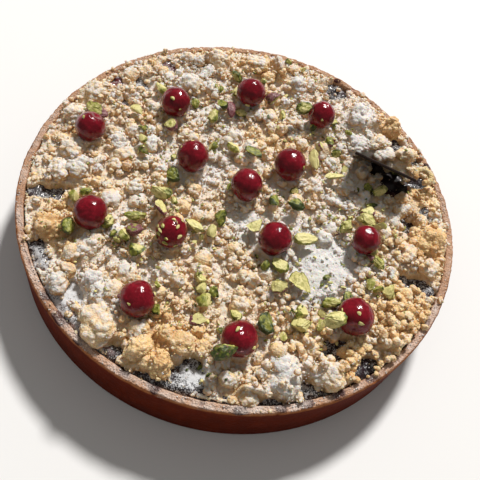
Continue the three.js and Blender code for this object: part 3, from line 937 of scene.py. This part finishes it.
class MakeCrust(TartPiece, bpy.types.Operator):
    """Turns the baked shell with its uneven, dusted rim"""

    bl_idname = "tart.make_crust"
    bl_label = "Make Crust"

    SEGMENTS = 720

    def profile(self, sizes):
        """Points (radius, height) in mm from the middle of the underside to the middle of the base's top."""
        wall, base = sizes.wall / MM, sizes.base / MM
        outer, top = SHELL_RADIUS - 0.1, RIM_LEVEL
        inner = outer - wall
        points = [(0.0, 0.0), (60.0, 0.0), (110.0, 0.0)]
        points += [(outer - 2.2, 0.0), (outer - 1.1, 0.3), (outer - 0.3, 1.1), (outer, 2.2)]
        points += [(outer, z) for z in np.linspace(4.0, top - 1.6, 22)]
        points += [(outer - 0.15, top - 0.9), (outer - 0.5, top - 0.3)]
        points += [(r, top) for r in np.linspace(outer - 1.0, inner + 0.7, 7)]
        points += [(inner + 0.25, top - 0.4), (inner, top - 1.0)]
        points += [(inner, z) for z in np.linspace(top - 2.0, JAM_LEVEL - 3.0, 6)]
        points += [(inner, 12.0), (inner - 0.4, base + 1.0), (inner - 1.5, base), (60.0, base), (0.0, base)]
        return points

    def make(self, sizes):
        bm = bmesh.new()
        verts = [bm.verts.new((r * MM, 0.0, z * MM)) for r, z in self.profile(sizes)]
        edges = [bm.edges.new(pair) for pair in zip(verts, verts[1:])]
        bmesh.ops.spin(
            bm, geom=verts + edges, cent=(0, 0, 0), axis=(0, 0, 1), angle=2 * math.pi, steps=self.SEGMENTS,
            use_merge=True)
        bmesh.ops.remove_doubles(bm, verts=bm.verts, dist=1e-6)
        bmesh.ops.recalc_face_normals(bm, faces=bm.faces)
        mesh = mesh_from(bm, "crust")
        points = points_of(mesh)
        radius = np.hypot(points[:, 0], points[:, 1])
        turn = np.arctan2(points[:, 1], points[:, 0])
        inner = SHELL_RADIUS - sizes.wall / MM
        noise, coarse = Grain(31), Grain(32)
        around = np.stack([np.cos(turn), np.sin(turn), np.zeros_like(turn)], axis=1)
        high = smooth_step(SHELL_TOP - 3.2, SHELL_TOP - 1.0, points[:, 2])
        high *= radius > inner - 1.0
        wave = 0.35 * coarse(around * 3.0) + 0.25 * coarse(around * 9.0 + 4.0)
        crumbly = 0.42 * noise(points / 1.8) + 0.30 * noise(points / 0.9 + 7.0)
        nicks = -0.9 * smooth_step(0.45, 0.8, coarse(points / 4.5))
        points[:, 2] += high * np.minimum(wave + crumbly + nicks, 0.72)
        outward = np.where(radius > inner + 1.5, 1.0, -1.0) * (radius > inner - 1.0)
        tall = smooth_step(0.5, 4.0, points[:, 2])
        skin = 0.10 * coarse(points / np.array([14.0, 14.0, 9.0])) + 0.05 * noise(points / 3.0)
        ragged = high * (0.28 * noise(points / 1.3 + 3.0) + 0.25 * coarse(points / 5.0))
        push = np.where(outward > 0, np.minimum(skin + ragged - 0.12, 0.05), 0.35 * (skin + ragged))
        push *= outward * tall
        lower = smooth_step(SHELL_TOP - 2.0, SHELL_TOP - 8.0, points[:, 2]) * (outward > 0) * tall
        push -= 0.22 * lower * (0.5 + 0.5 * coarse(layer(turn * 3.0, points[:, 2] / 6.0)))
        points[:, 0] += np.cos(turn) * push
        points[:, 1] += np.sin(turn) * push
        mesh.vertices.foreach_set("co", (points * MM).astype(np.float32).ravel())
        rim = smooth_step(SHELL_TOP - 1.9, SHELL_TOP - 1.2, points[:, 2])
        rim = np.maximum(rim, ((radius < inner + 0.6) & (points[:, 2] > 8.0)) * 1.0)
        # The edge mark paints a highlight: an orange line along the outer top of the wall, with less sugar on
        # it.
        shift = 0.6 * noise(points / 2.5)
        edge = smooth_step(SHELL_TOP - 2.9, SHELL_TOP - 2.0, points[:, 2] + 0.4 * shift)
        edge *= smooth_step(inner + 3.3, inner + 4.2, radius + 0.5 * shift)
        stain = spots([(*place_at(heading, away), reach, 1.0) for heading, away, reach in RIM_BLOTCHES],
                      points[:, 0], points[:, 1])
        stain *= 1.0 + 0.5 * noise(points / 2.0 + 11.0)
        paint(mesh, "stain", np.clip(stain, 0.0, 1.0) * high)
        paint(mesh, "rim", rim)
        paint(mesh, "edge", edge * 0.8)
        dust = 0.68 + 0.25 * coarse(points / 9.0) + 0.16 * noise(points / 2.2) - 0.22 * np.sin(turn)
        paint(mesh, "dust", np.where(high > 0.3, dust, 0.0) - 0.35 * edge)
        hand_over(finished("crust", mesh), crust_finish(), ["tart_shell"])


class MakeFilling(TartPiece, bpy.types.Operator):
    """Models the dark berries that show between the crumble and the crust"""

    bl_idname = "tart.make_filling"
    bl_label = "Make Filling"

    BERRIES = 2300
    REACH = 120.6  # mm from the middle to the crust
    BERRY_REACH = 118.0  # mm from the middle to the last berries

    def make(self, sizes):
        rng = np.random.default_rng(sizes.seed + 1)
        field = np.full((GRID_COUNT, GRID_COUNT), JAM_LEVEL - 1.6)
        for _ in range(self.BERRIES):
            turn, away = rng.uniform(0, 2 * math.pi), self.BERRY_REACH * math.sqrt(rng.uniform(0.5, 1.0))
            radius = sizes.berry / MM * rng.uniform(0.55, 1.1)
            rise = rng.uniform(-0.9, 0.9) - 0.75 * radius
            w, dome, there = ground().dome(away * math.cos(turn), away * math.sin(turn), radius, radius)
            raise_to(field, w, there, JAM_LEVEL + rise + dome)
        x, y = GRID_PLACES
        field += 0.22 * Grain(41)(layer(x, y) / 1.3)
        away = np.hypot(x, y)
        turn = np.degrees(np.arctan2(y, x)) % 360.0
        flush = smooth_step(218.0, 228.0, turn) * smooth_step(284.0, 274.0, turn)
        field += 2.4 * smooth_step(104.0, 117.0, away) + 1.9 * flush * smooth_step(112.0, 118.0, away)
        mesh = disc_mesh("berry_jam", self.REACH, sizes.jam_spacing / MM, field, sizes.base / MM + 0.3)
        px, py, _ = points_of(mesh).T
        dust = sugar_at(px, py) * 0.5
        for heading, distance, along, across, sugar in BAYS:
            dust += 0.9 * spots(((*place_at(heading, distance), max(along, across), sugar),), px, py)
        paint(mesh, "dust", dust)
        turn = np.degrees(np.arctan2(py, px)) % 360.0
        soaked = smooth_step(216.0, 226.0, turn) * smooth_step(254.0, 246.0, turn)
        paint(mesh, "soaked", soaked * smooth_step(110.0, 116.0, np.hypot(px, py)))
        paint(mesh, "red", np.clip(spots(RED_JAM, px, py), 0.0, 1.0))
        hand_over(finished("berry_jam", mesh), jam_finish(), ["berry_filling"])
        ground().top = np.maximum(ground().top, field)


def disc_mesh(name, radius, spacing, field, bottom):
    """A closed solid: a round piece of a fine grid on a field, walls and a flat underside."""
    bm = bmesh.new()
    cells = int(2 * radius / spacing) + 1
    bmesh.ops.create_grid(bm, x_segments=cells, y_segments=cells, size=radius)
    bmesh.ops.delete(bm, geom=[v for v in bm.verts if v.co.xy.length > radius], context="VERTS")
    bmesh.ops.delete(bm, geom=[v for v in bm.verts if not v.link_faces], context="VERTS")
    top = list(bm.verts)
    rim = [e for e in bm.edges if e.is_boundary]
    walls = bmesh.ops.extrude_edge_only(bm, edges=rim)["geom"]
    foot = [v for v in walls if isinstance(v, bmesh.types.BMVert)]
    bmesh.ops.contextual_create(bm, geom=[e for e in walls if isinstance(e, bmesh.types.BMEdge)])
    bm.verts.index_update()
    places = np.array([v.co[:] for v in top])
    level = ground().at(places[:, 0], places[:, 1], field)
    for v, z in zip(top, level):
        v.co = (v.co.x * MM, v.co.y * MM, z * MM)
    for v in foot:
        v.co = (v.co.x * MM, v.co.y * MM, bottom * MM)
    bmesh.ops.recalc_face_normals(bm, faces=bm.faces)
    return mesh_from(bm, name)


class MakeCrumble(TartPiece, bpy.types.Operator):
    """Heaps the crumble: a bed, big lumps, crumbs and grains"""

    bl_idname = "tart.make_crumble"
    bl_label = "Make Crumble"

    GOLDEN = (90, -60, 24)  # x, y and reach in mm of the pile of separate golden crumbs
    BED_REACH = 119.8  # mm from the middle to the bed's edge
    BED_DOMES = 15000
    RIM_START, RIM_END = 120.6, 124.2  # mm from the middle, between which crumbs lie on the rim
    RIM_LARGEST = 2.5  # mm, largest radius of a crumb on the rim
    DRIFT_RISE = 2.4  # mm that the drift of sugar stands over the bed
    # Crumbs, largest first: name, radii in mm, icosphere level, knobs, how deep they sink
    # as shares of their radius, mm that they may rise over the heap, and tries.
    KINDS = (
        ("big_clumps", (4.2, 7.4), 4, 90, (-0.05, 0.3), 2.6, 20000),
        ("clumps", (2.8, 4.5), 4, 60, (0.0, 0.35), 2.2, 30000),
        ("golden_crumbs", (2.2, 3.7), 3, 16, (0.1, 0.45), 2.6, 30000),
        ("crumbs", (1.8, 3.0), 3, 26, (0.05, 0.4), 1.8, 50000),
        ("small_crumbs", (1.0, 2.0), 2, 9, (0.0, 0.4), 1.2, 60000),
        ("crumble_grains", (0.4, 0.95), 1, 3, (0.1, 0.6), 0.8, 90000),
    )

    def make(self, sizes):
        rng = np.random.default_rng(sizes.seed)
        self.bed(sizes, rng)
        self.lumps(rng)
        self.crumbs(sizes, rng)

    def bed(self, sizes, rng):
        """The core of the heap, with the crumbs that are too deep to be pieces of their own."""
        here = ground()
        x, y = GRID_PLACES
        grains = Grain(55)
        calm = np.clip(spots(DRIFT, x, y), 0.0, 1.0)
        bed = here.core + self.DRIFT_RISE * calm
        bed += (0.25 - 0.14 * calm) * grains(layer(x, y) / 1.1)
        bed += 0.8 * calm * grains(layer(x, y, 7.0) / 2.1)
        for _ in range(self.BED_DOMES):
            x, y = rng.uniform(-118, 118, 2)
            flat = min(max(float(spots(DRIFT, x, y)), 0.0), 1.0)
            radius = rng.uniform(0.8, 2.2)
            if here.at(x, y, here.edge) > 0.6 * radius and rng.random() > 0.6 * flat:
                w, dome, there = here.dome(x, y, radius, radius)
                depth = radius * rng.uniform(0.3 + 0.45 * flat, 0.9)
                raise_to(bed, w, there, here.at(x, y, here.core) - depth + self.DRIFT_RISE * flat + dome)
        here.top = np.maximum(here.top, bed)
        mesh = disc_mesh("crumble_bed", self.BED_REACH, sizes.bed_spacing / MM, bed, JAM_LEVEL - 6.0)
        px, py, _ = points_of(mesh).T
        soft = bed
        for _ in range(6):
            soft = sum(np.roll(soft, way, axis) for way, axis in NEIGHBOURS) / 4.0
        # Painted shade and highlight: the bed's hollows are made browner and its bumps get more sugar.
        crest = np.clip(0.5 + here.at(px, py, bed - soft) / 1.2, 0.0, 1.0)
        paint(mesh, "toast", brown_at(px, py) + 0.22 * (0.6 - crest))
        paint(mesh, "dust", sugar_at(px, py) + 0.32 * (crest - 0.5))
        hand_over(finished("crumble_bed", mesh), crumble_finish(), ["crumble_topping"])

    def lumps(self, rng):
        """The big pieces at their places, each a cluster of balls with knobs."""
        here = ground()
        clusters = []
        for x, y, radius, rise in LUMPS:
            radius *= 0.93
            directions, triangles = unit_sphere(5 if radius >= 7.0 else 4)
            tall = min(max(rise / radius, 0.72), 1.1)
            top = float(here.at(x, y, here.heap)) + 0.8
            middle = top - tall * radius
            balls, knob_count = 7, int(16 * radius)
            centres = random_directions(rng, 1, balls) * radius * 0.52
            radii = radius * rng.uniform(0.34, 0.56, (1, balls))
            core = np.array([radius * 0.55])
            body = reach_of_spheres(directions, centres, radii, core)
            picks = random_directions(rng, 1, knob_count)
            reach = reach_of_spheres(picks[0], centres, radii, core)
            size = rng.uniform(0.9, 1.9, (1, knob_count)) * min(radius / 8.0, 1.15)
            small = picks * (reach - 0.25 * size)[..., None]
            knobs = reach_of_spheres(directions, small, size, core)
            crest = crest_of(knobs, body)
            knobs = np.maximum(body, knobs)
            points = directions[None] * knobs[..., None]
            points *= min(1.0, radius / np.percentile(knobs, 70))
            points[..., 2] *= tall
            points += (x, y, middle)
            away = np.hypot(points[..., 0], points[..., 1])
            limit = 123.2 if y > 0 else 121.0
            pull = np.where(away > limit, limit / np.maximum(away, 1.0), 1.0)
            points[..., :2] *= pull[..., None]
            clusters.append((points, triangles, self.tones(points, crest, rng)))
            w, dome, there = here.dome(x, y, radius * 0.9, tall * radius)
            raise_to(here.top, w, there, middle + dome)
            here.cover(points)
        obj = joined_mesh("crumble_lumps", clusters)
        hand_over(obj, crumble_finish())

    @staticmethod
    def tones(points, crest, rng):
        """Baking and sugar of separate crumbs, with painted light: paler and more sugared on their knobs as a
        painted highlight, browner in their creases as painted shade.
        """
        middle = points.mean(axis=1)
        toast = brown_at(middle[:, 0], middle[:, 1]) + rng.normal(0.0, 0.14, len(middle))
        dust = sugar_at(middle[:, 0], middle[:, 1]) + rng.normal(0.0, 0.10, len(middle))
        return {"toast": toast[:, None] + 0.22 * (0.5 - crest), "dust": dust[:, None] + 0.32 * (crest - 0.5)}

    def crumbs(self, sizes, rng):
        """Lays the kinds of crumb, largest first, one piece for each kind."""
        for name, span, level, knobs, sink, allowance, tries in self.KINDS:
            wanted = getattr(sizes, name)
            laid = []
            if name == "crumbs":
                x, y, z, curl, dough = CURL
                laid = [(x + curl * math.cos(turn), y + curl * math.sin(turn), z, dough, 0.95)
                        for turn in np.radians(CURL_TURNS)]
            chain = len(laid)
            for _ in range(tries):
                if len(laid) >= wanted:
                    break
                if name == "golden_crumbs":
                    place = rng.normal(self.GOLDEN[:2], self.GOLDEN[2])
                else:
                    place = rng.uniform(-120, 120, 2)
                spot = self.try_crumb(rng, *place, span, sink, allowance)
                if spot:
                    laid.append(spot)
            laid = np.array(laid)
            points, triangles, crest = self.shapes(rng, laid, level, knobs)
            ground().cover(points)
            tones = self.tones(points, crest, rng)
            if name == "crumbs":
                smooth = laid[:chain, None, :3] + unit_sphere(level)[0] * dough
                points[:chain] = 0.35 * points[:chain] + 0.65 * smooth
                tones["toast"][:chain] += 0.1
                tones["dust"][:chain] -= 0.4
            obj = joined_mesh(name, [(points, triangles, tones)])
            hand_over(obj, crumble_finish())

    def try_crumb(self, rng, x, y, span, sink, allowance):
        """x, y, z, radius and tallness of a new crumb, or None."""
        here = ground()
        radius = span[0] + (span[1] - span[0]) * rng.beta(1.3, 2.4)
        away = math.hypot(x, y)
        on_rim = away + 0.55 * radius > self.RIM_START
        if on_rim and (away + 0.6 * radius > self.RIM_END or radius > self.RIM_LARGEST):
            return None
        if on_rim and rng.random() > (0.35 if y > -20.0 else 0.12):
            return None
        if math.hypot(x - CURL[0], y - CURL[1]) < CURL[3] + CURL[4] + 0.6 * radius:
            return None
        edge = float(here.at(x, y, here.edge))
        flat = float(spots(FEW_CRUMBS, x, y))
        loose = edge < 0.3 and not on_rim
        if not loose and not on_rim and edge < 0.5 * radius:
            return None
        if loose and (radius > 2.2 or rng.random() > 0.10):
            return None
        if rng.random() < flat * (1.15 if radius > 1.4 else 0.6):
            return None
        if radius > 3.0 and rng.random() < float(spots(((*self.GOLDEN, 1.3),), x, y)):
            return None
        tall = rng.uniform(0.72, 0.98)
        room = allowance + (3.0 if loose or on_rim else 0.0) + 0.12 * radius
        middle = here.settle(x, y, radius, tall * radius, rng.uniform(*sink), room)
        return None if middle is None else (x, y, middle, radius, tall)

    @staticmethod
    def shapes(rng, laid, level, knobs):
        """Points of knobbly crumbs, each a different one."""
        directions, triangles = unit_sphere(level)
        number = len(laid)
        radius = laid[:, 3]
        big = min(5, knobs)
        centres = random_directions(rng, number, knobs)
        knob = {4: 0.23, 3: 0.32}.get(level, 0.4)
        share = np.where(np.arange(knobs) < big, 0.5, 0.96 - knob)
        size = np.where(np.arange(knobs) < big, 0.5, knob) * rng.uniform(0.8, 1.15, (number, knobs))
        centres = centres * (share * rng.uniform(0.85, 1.1, (number, knobs)) * radius[:, None])[..., None]
        size = size * radius[:, None]
        reach = reach_of_spheres(directions, centres, size, radius * 0.55)
        body = reach_of_spheres(directions, centres[:, :big], size[:, :big], radius * 0.55)
        crest = crest_of(reach, body) if level > 2 else np.full(reach.shape, 0.6)
        points = directions[None] * reach[..., None]
        stretch = rng.uniform(0.85, 1.15, (number, 1, 3))
        stretch[..., 2] *= laid[:, None, 4]
        return points * stretch + laid[:, None, :3], triangles, crest


def nut_shape(rng, level, half, cuts, axes, middle):
    """Points, triangles and marks of a pistachio or a piece of one; half sizes and middle in mm."""
    directions, triangles = unit_sphere(level)
    noise = Grain(int(rng.integers(1 << 30)), 16)
    shape = directions.copy()
    taper = 1.0 - 0.20 * shape[:, 0] - 0.10 * shape[:, 0] ** 2
    shape[:, 1:] *= taper[:, None]
    shape *= (1.0 + 0.16 * noise(directions * 1.5 + 5.0) + 0.09 * noise(directions * 3.4 + 9.0))[:, None]
    seam = np.exp(-((shape[:, 1] / 0.14) ** 2)) * np.clip(shape[:, 2], 0.0, 1.0)
    shape[:, 2] -= 0.16 * seam
    cut = np.zeros(len(shape))
    for number in range(cuts):
        normal = rng.normal(size=3) * (0.9, 1.1, 0.8)
        if number == 0:
            normal = np.array([0.35, 0.5, 0.9]) * rng.uniform(-1.0, 1.0, 3) + (0.0, 0.0, 0.5)
        normal /= np.linalg.norm(normal)
        beyond = shape @ normal - rng.uniform(0.12, 0.55)
        ragged = 0.09 * noise(directions * 3.0 + 2.0) + 0.05 * noise(directions * 7.0 + 2.0)
        shape -= 0.82 * np.maximum(beyond + ragged, 0.0)[:, None] * normal
        cut = np.maximum(cut, smooth_step(0.05, 0.22, beyond + ragged))
    shape *= (1.0 + 0.07 * noise(directions * 3.6 + 13.0) + 0.03 * noise(directions * 8.0 + 4.0))[:, None]
    low, high = shape.min(axis=0), shape.max(axis=0)
    shape = (shape - (low + high) / 2) / ((high - low) / 2) * half
    return shape @ axes + middle, triangles, cut, shape + rng.uniform(-50, 50, 3)


class MakeCherries(TartPiece, bpy.types.Operator):
    """Shapes the fourteen glazed cherries"""

    bl_idname = "tart.make_cherries"
    bl_label = "Make Cherries"

    def make(self, sizes):
        directions, triangles = unit_sphere(5)
        names = sorted(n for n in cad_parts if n.startswith("cherry_"))
        for index, name in enumerate(names):
            rng = np.random.default_rng(sizes.seed + 50 + index)
            low, high = (np.array(corner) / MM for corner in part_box(name))
            noise = Grain(500 + index, 16)
            stalk = rng.normal(size=3) * (1.0, 1.0, 0.5)
            stalk /= np.linalg.norm(stalk)
            towards = directions @ stalk
            form = 1.0 - 0.16 * np.exp(-((1.0 - towards) / 0.06)) + 0.045 * noise(directions * 1.7)
            side = np.cross(stalk, (0.0, 0.0, 1.0)) + 1e-6
            side /= np.linalg.norm(side)
            crease = np.exp(-((directions @ side) / 0.08) ** 2) * smooth_step(-0.2, 0.8, towards)
            form += 0.012 * noise(directions * 4.5 + 3.0) + 0.005 * noise(directions * 11.0) - 0.02 * crease
            points = directions * form[:, None]
            start, end = points.min(axis=0), points.max(axis=0)
            points = (points - (start + end) / 2) / ((end - start) / 2) * (high - low) / 2 + (low + high) / 2
            dust = np.full(len(points), 0.12 if index in (8, 1) else 0.0)
            obj = joined_mesh("glazed_" + name, [(points[None], triangles, {
                "local": (directions + index * 7.0)[None], "dust": dust[None]})])
            hand_over(obj, cherry_finish(), [name])


class MakeNuts(TartPiece, bpy.types.Operator):
    """Shapes the whole, halved and chopped pistachios"""

    bl_idname = "tart.make_nuts"
    bl_label = "Make Nuts"

    def make(self, sizes):
        self.kernels(sizes)
        self.chips(sizes)
        self.bits(sizes)

    @staticmethod
    def marks(points, tone, skin, dust, cut, local):
        """Attributes of one piece of nut."""
        made = {key: np.full((1, len(points)), float(value))
                for key, value in (("tone", tone), ("skin", skin), ("dust", dust))}
        return {**made, "cut": cut[None], "local": local[None]}

    def kernels(self, sizes):
        """The large nuts, at their CAD nodes."""
        names = sorted(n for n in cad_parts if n.startswith("pistachio_"))
        for index, name in enumerate(names):
            rng = np.random.default_rng(sizes.seed + 100 + index)
            middle, axes, half = node_pose(name)
            tone, skin, dust, cuts = NUTS[index]
            points, triangles, cut, local = nut_shape(rng, 4, half, cuts * 2 + 1, axes, middle)
            obj = joined_mesh("kernel_" + name[-2:], [
                (points[None], triangles, self.marks(points, tone, skin, dust, cut, local))], NUT_CREASE)
            hand_over(obj, nut_finish(), [name])

    @staticmethod
    def lay(rng, x, y, half, sink):
        """Middle and axes of a piece that lies on the ground at a random turn."""
        here = ground()
        w, _, there = here.dome(x, y, max(half[1], 0.6), 1.0)
        level = float(here.top[w][there].mean()) if there.any() else float(here.at(x, y))
        turn = Matrix.Rotation(rng.uniform(0, 2 * math.pi), 3, "Z") @ Matrix.Rotation(
            rng.normal(0, 0.35), 3, "X") @ Matrix.Rotation(rng.normal(0, 0.25), 3, "Y")
        return np.array([x, y, level + sink * half[2]]), np.array(turn).T

    def chips(self, sizes):
        """Chopped nuts at their places."""
        rng = np.random.default_rng(sizes.seed + 2)
        clusters = []
        for x, y, long, tone, skin in CHIPS:
            half = np.array([long * 0.5, long * rng.uniform(0.30, 0.42), long * rng.uniform(0.26, 0.36)])
            if long < 3.5:
                half[1:] = long * 0.36
            middle, axes = self.lay(rng, x, y, half, 1.0)
            level = 3 if long >= 4 else 2
            points, triangles, cut, local = nut_shape(rng, level, half, 3, axes, middle)
            clusters.append((points[None], triangles, self.marks(
                points, tone + rng.normal(0, 0.05), skin, rng.uniform(0, 0.25), cut, local)))
            w, dome, there = ground().dome(x, y, half[1], half[2])
            raise_to(ground().top, w, there, middle[2] + dome)
        hand_over(joined_mesh("nut_chips", clusters, NUT_CREASE), nut_finish())

    def bits(self, sizes):
        """Small bits around the nuts and on the cherries."""
        rng = np.random.default_rng(sizes.seed + 3)
        near = [(c[0], c[1]) for c in CHIPS]
        near += [tuple(node_pose(n)[0][:2]) for n in sorted(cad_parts) if n.startswith("pistachio_")]
        clusters = []
        while len(clusters) < sizes.nut_bits:
            centre = near[int(rng.integers(len(near)))]
            x, y = rng.normal(centre, 8.0)
            if math.hypot(x, y) < 114.0 and ground().open_at(x, y):
                clusters.append(self.bit(rng, *self.lay_bit(rng, x, y)))
        for index, number in enumerate(BITS_ON_CHERRIES):
            low, high = (np.array(corner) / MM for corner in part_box("cherry_%02d" % (index + 1)))
            for _ in range(number):
                way = rng.normal(size=3) * (0.8, 0.8, 0.5) + (0.0, -0.25, 0.55)
                way /= np.linalg.norm(way)
                middle = (low + high) / 2 + way * (high - low) / 2 * 1.01
                axes = np.array(Vector(way).to_track_quat("Z", "Y").to_matrix()).T
                clusters.append(self.bit(rng, middle, axes, rng.uniform(0.7, 1.5), (-0.15, -0.05, 0.1)))
        hand_over(joined_mesh("nut_bits", clusters, NUT_CREASE), nut_finish())

    def lay_bit(self, rng, x, y):
        size = 0.45 + 1.1 * rng.beta(1.2, 3.0)
        middle, axes = self.lay(rng, x, y, np.array([size] * 3), 0.5)
        return middle, axes, size

    def bit(self, rng, middle, axes, size, tones=(0.0, 0.1, 0.25, 0.4, 0.7)):
        half = size * rng.uniform((0.9, 0.5, 0.4), (1.4, 0.9, 0.6))
        points, triangles, cut, local = nut_shape(rng, 2, half, 2, axes, middle)
        skin = 0.9 if rng.random() < 0.12 else 0.0
        return points[None], triangles, self.marks(points, rng.choice(tones), skin, 0.0, cut, local)


class MakePlaque(TartPiece, bpy.types.Operator):
    """Shapes the thin chocolate plaque that leans on the crumble"""

    bl_idname = "tart.make_plaque"
    bl_label = "Make Plaque"

    ROUNDING = 0.35  # mm
    CUTS = 40  # across each face, for its unevenness

    def make(self, sizes):
        middle, axes, half = node_pose("chocolate_plaque", level=True)
        bm = bmesh.new()
        bmesh.ops.create_cube(bm, size=2.0)
        bmesh.ops.scale(bm, vec=Vector(half), verts=bm.verts)
        bmesh.ops.bevel(
            bm, geom=list(bm.edges), offset=self.ROUNDING, offset_type="OFFSET", affect="EDGES", segments=3,
            profile=0.5, material=-1)
        long = [e for e in bm.edges if e.calc_length() > 8.0]
        bmesh.ops.subdivide_edges(bm, edges=long, cuts=self.CUTS, use_grid_fill=True)
        noise = Grain(61)
        for v in bm.verts:
            place = np.array(v.co)
            flat = abs(place[2]) > half[2] * 0.9
            place[:2] *= 1.0 - 0.006 - 0.006 * float(noise(place / 5.0))
            place[2] *= 1.0 - 0.10 * abs(float(noise(place / 4.0))) * flat
            v.co = Vector((place @ axes + middle) * MM)
        bmesh.ops.recalc_face_normals(bm, faces=bm.faces)
        mesh = mesh_from(bm, "plaque")
        paint(mesh, "dust", np.full(len(mesh.vertices), 0.75))
        hand_over(finished("plaque", mesh), chocolate_finish(), ["chocolate_plaque"])


class MakeSugar(TartPiece, bpy.types.Operator):
    """Scatters loose grains of sugar on the filling, the rim and the toppings"""

    bl_idname = "tart.make_sugar"
    bl_label = "Make Sugar"

    GAP = (118.0, 121.0)  # mm from the middle, between which no loose grains lie

    def make(self, sizes):
        rng = np.random.default_rng(sizes.seed + 4)
        directions, triangles = unit_sphere(1)
        places = []
        while len(places) < sizes.sugar_grains:
            turn, away = rng.uniform(0, 2 * math.pi), 124.0 * math.sqrt(rng.uniform(0.45, 1.0))
            x, y = away * math.cos(turn), away * math.sin(turn)
            if self.GAP[0] < away < self.GAP[1] or not ground().open_at(x, y):
                continue
            if away >= self.GAP[1]:
                level = RIM_LEVEL
            else:
                level = float(ground().at(x, y))
                if ground().at(x, y, ground().edge) > 1.5 and rng.random() < 0.7:
                    continue
            places.append((x, y, level + 0.1))
        places = np.array(places)
        size = rng.uniform(0.18, 0.42, (len(places), 1, 1)) * rng.uniform(0.7, 1.2, (len(places), 1, 3))
        points = directions[None] * size + places[:, None, :]
        obj = joined_mesh("sugar_grains", [(points, triangles, {})])
        hand_over(obj, sugar_finish())


class MakeStage(bpy.types.Operator):
    """Sets the floor, the lights and the camera"""

    bl_idname = "tart.make_stage"
    bl_label = "Make Stage"
    bl_options = {"REGISTER", "UNDO"}

    ELEVATION = 0.9969924  # of the camera's line of sight, in radians
    ROLL = 0.28165453
    POSITION = (0.004717, -0.212970, 0.321770)
    LENS = 46.5
    AIM = (0.0, 0.0, 0.03)  # where the lights point
    # Name, place and diameter in m, power in W and tint.
    LIGHTS = (
        ("Key", (0.55, 3.0, 3.6), 0.70, 276.0, (1.0, 0.975, 0.94)),
        ("Overhead", (-0.3, -0.5, 1.5), 1.4, 1.2, (0.95, 0.97, 1.0)),
    )
    SKY, SKY_STRENGTH = (1.0, 0.96, 0.90, 1.0), 0.185

    def execute(self, context):
        self.floor()
        for row in self.LIGHTS:
            self.light(*row)
        world = context.scene.world or bpy.data.worlds.new("World")
        context.scene.world = world
        world.use_nodes = True
        background = world.node_tree.nodes["Background"]
        background.inputs["Color"].default_value = self.SKY
        background.inputs["Strength"].default_value = self.SKY_STRENGTH
        context.scene.view_settings.view_transform = "Standard"
        self.camera(context)
        return {"FINISHED"}

    def floor(self):
        bm = bmesh.new()
        bmesh.ops.create_circle(bm, cap_ends=True, segments=96, radius=4.0)
        mesh = mesh_from(bm, "floor")
        obj = linked("floor", mesh)

        def build(shader, surface):
            tone = shader.noise(shader.place(), 3.0)
            pale = colours().floor
            base = shader.ramp(tone, ((0.2, shaded(pale, 0.985)), (0.8, pale)))
            fill(shader, surface, Base_Color=base, Roughness=0.9)

        mesh.materials.append(new_finish("Studio Floor", build))

    def light(self, name, place, size, power, tint):
        data = bpy.data.lights.new(name, "AREA")
        data.shape, data.size, data.energy, data.color = "DISK", size, power, tint
        obj = linked(name, data)
        obj.location = place
        obj.visible_glossy = name == "Key"
        obj.rotation_mode = "QUATERNION"
        obj.rotation_quaternion = (Vector(self.AIM) - Vector(place)).to_track_quat("-Z", "Y")

    def camera(self, context):
        back = Vector((0.0, -math.cos(self.ELEVATION), math.sin(self.ELEVATION)))
        right = Vector((1.0, 0.0, 0.0))
        up = back.cross(right)
        c, s = math.cos(self.ROLL), math.sin(self.ROLL)
        across, upright = c * right + s * up, -s * right + c * up
        data = bpy.data.cameras.new("Camera")
        data.sensor_width, data.lens = 36.0, self.LENS
        data.clip_start, data.clip_end = 0.01, 20.0
        obj = linked("Camera", data)
        matrix = Matrix((across, upright, back)).transposed().to_4x4()
        matrix.translation = Vector(self.POSITION)
        obj.matrix_world = matrix
        context.scene.camera = obj


class TartPanel(bpy.types.Panel):
    """Sizes, colours and pieces of the tart"""

    bl_idname = "VIEW3D_PT_tart"
    bl_label = "Berry Crumble Tart"
    bl_space_type = "VIEW_3D"
    bl_region_type = "UI"
    bl_category = "Tart"

    def draw(self, context):
        for group in (context.scene.tart_sizes, context.scene.tart_colours):
            column = self.layout.column(align=True)
            for key in group.__annotations__:
                column.prop(group, key)
        for piece in PIECES:
            self.layout.operator(piece.bl_idname)


PIECES = (MakeCrust, MakeFilling, MakeCrumble, MakeCherries, MakeNuts, MakePlaque, MakeSugar, MakeStage)
CLASSES = (TartSizes, TartColours, *PIECES, TartPanel)


def register():
    for item in CLASSES:
        bpy.utils.register_class(item)
    bpy.types.Scene.tart_sizes = bpy.props.PointerProperty(type=TartSizes)
    bpy.types.Scene.tart_colours = bpy.props.PointerProperty(type=TartColours)


def unregister():
    del bpy.types.Scene.tart_colours
    del bpy.types.Scene.tart_sizes
    for item in reversed(CLASSES):
        bpy.utils.unregister_class(item)


def main():
    register()
    for piece in PIECES:
        getattr(bpy.ops.tart, piece.bl_idname.split(".")[1])()


if __name__ == "__main__":
    main()
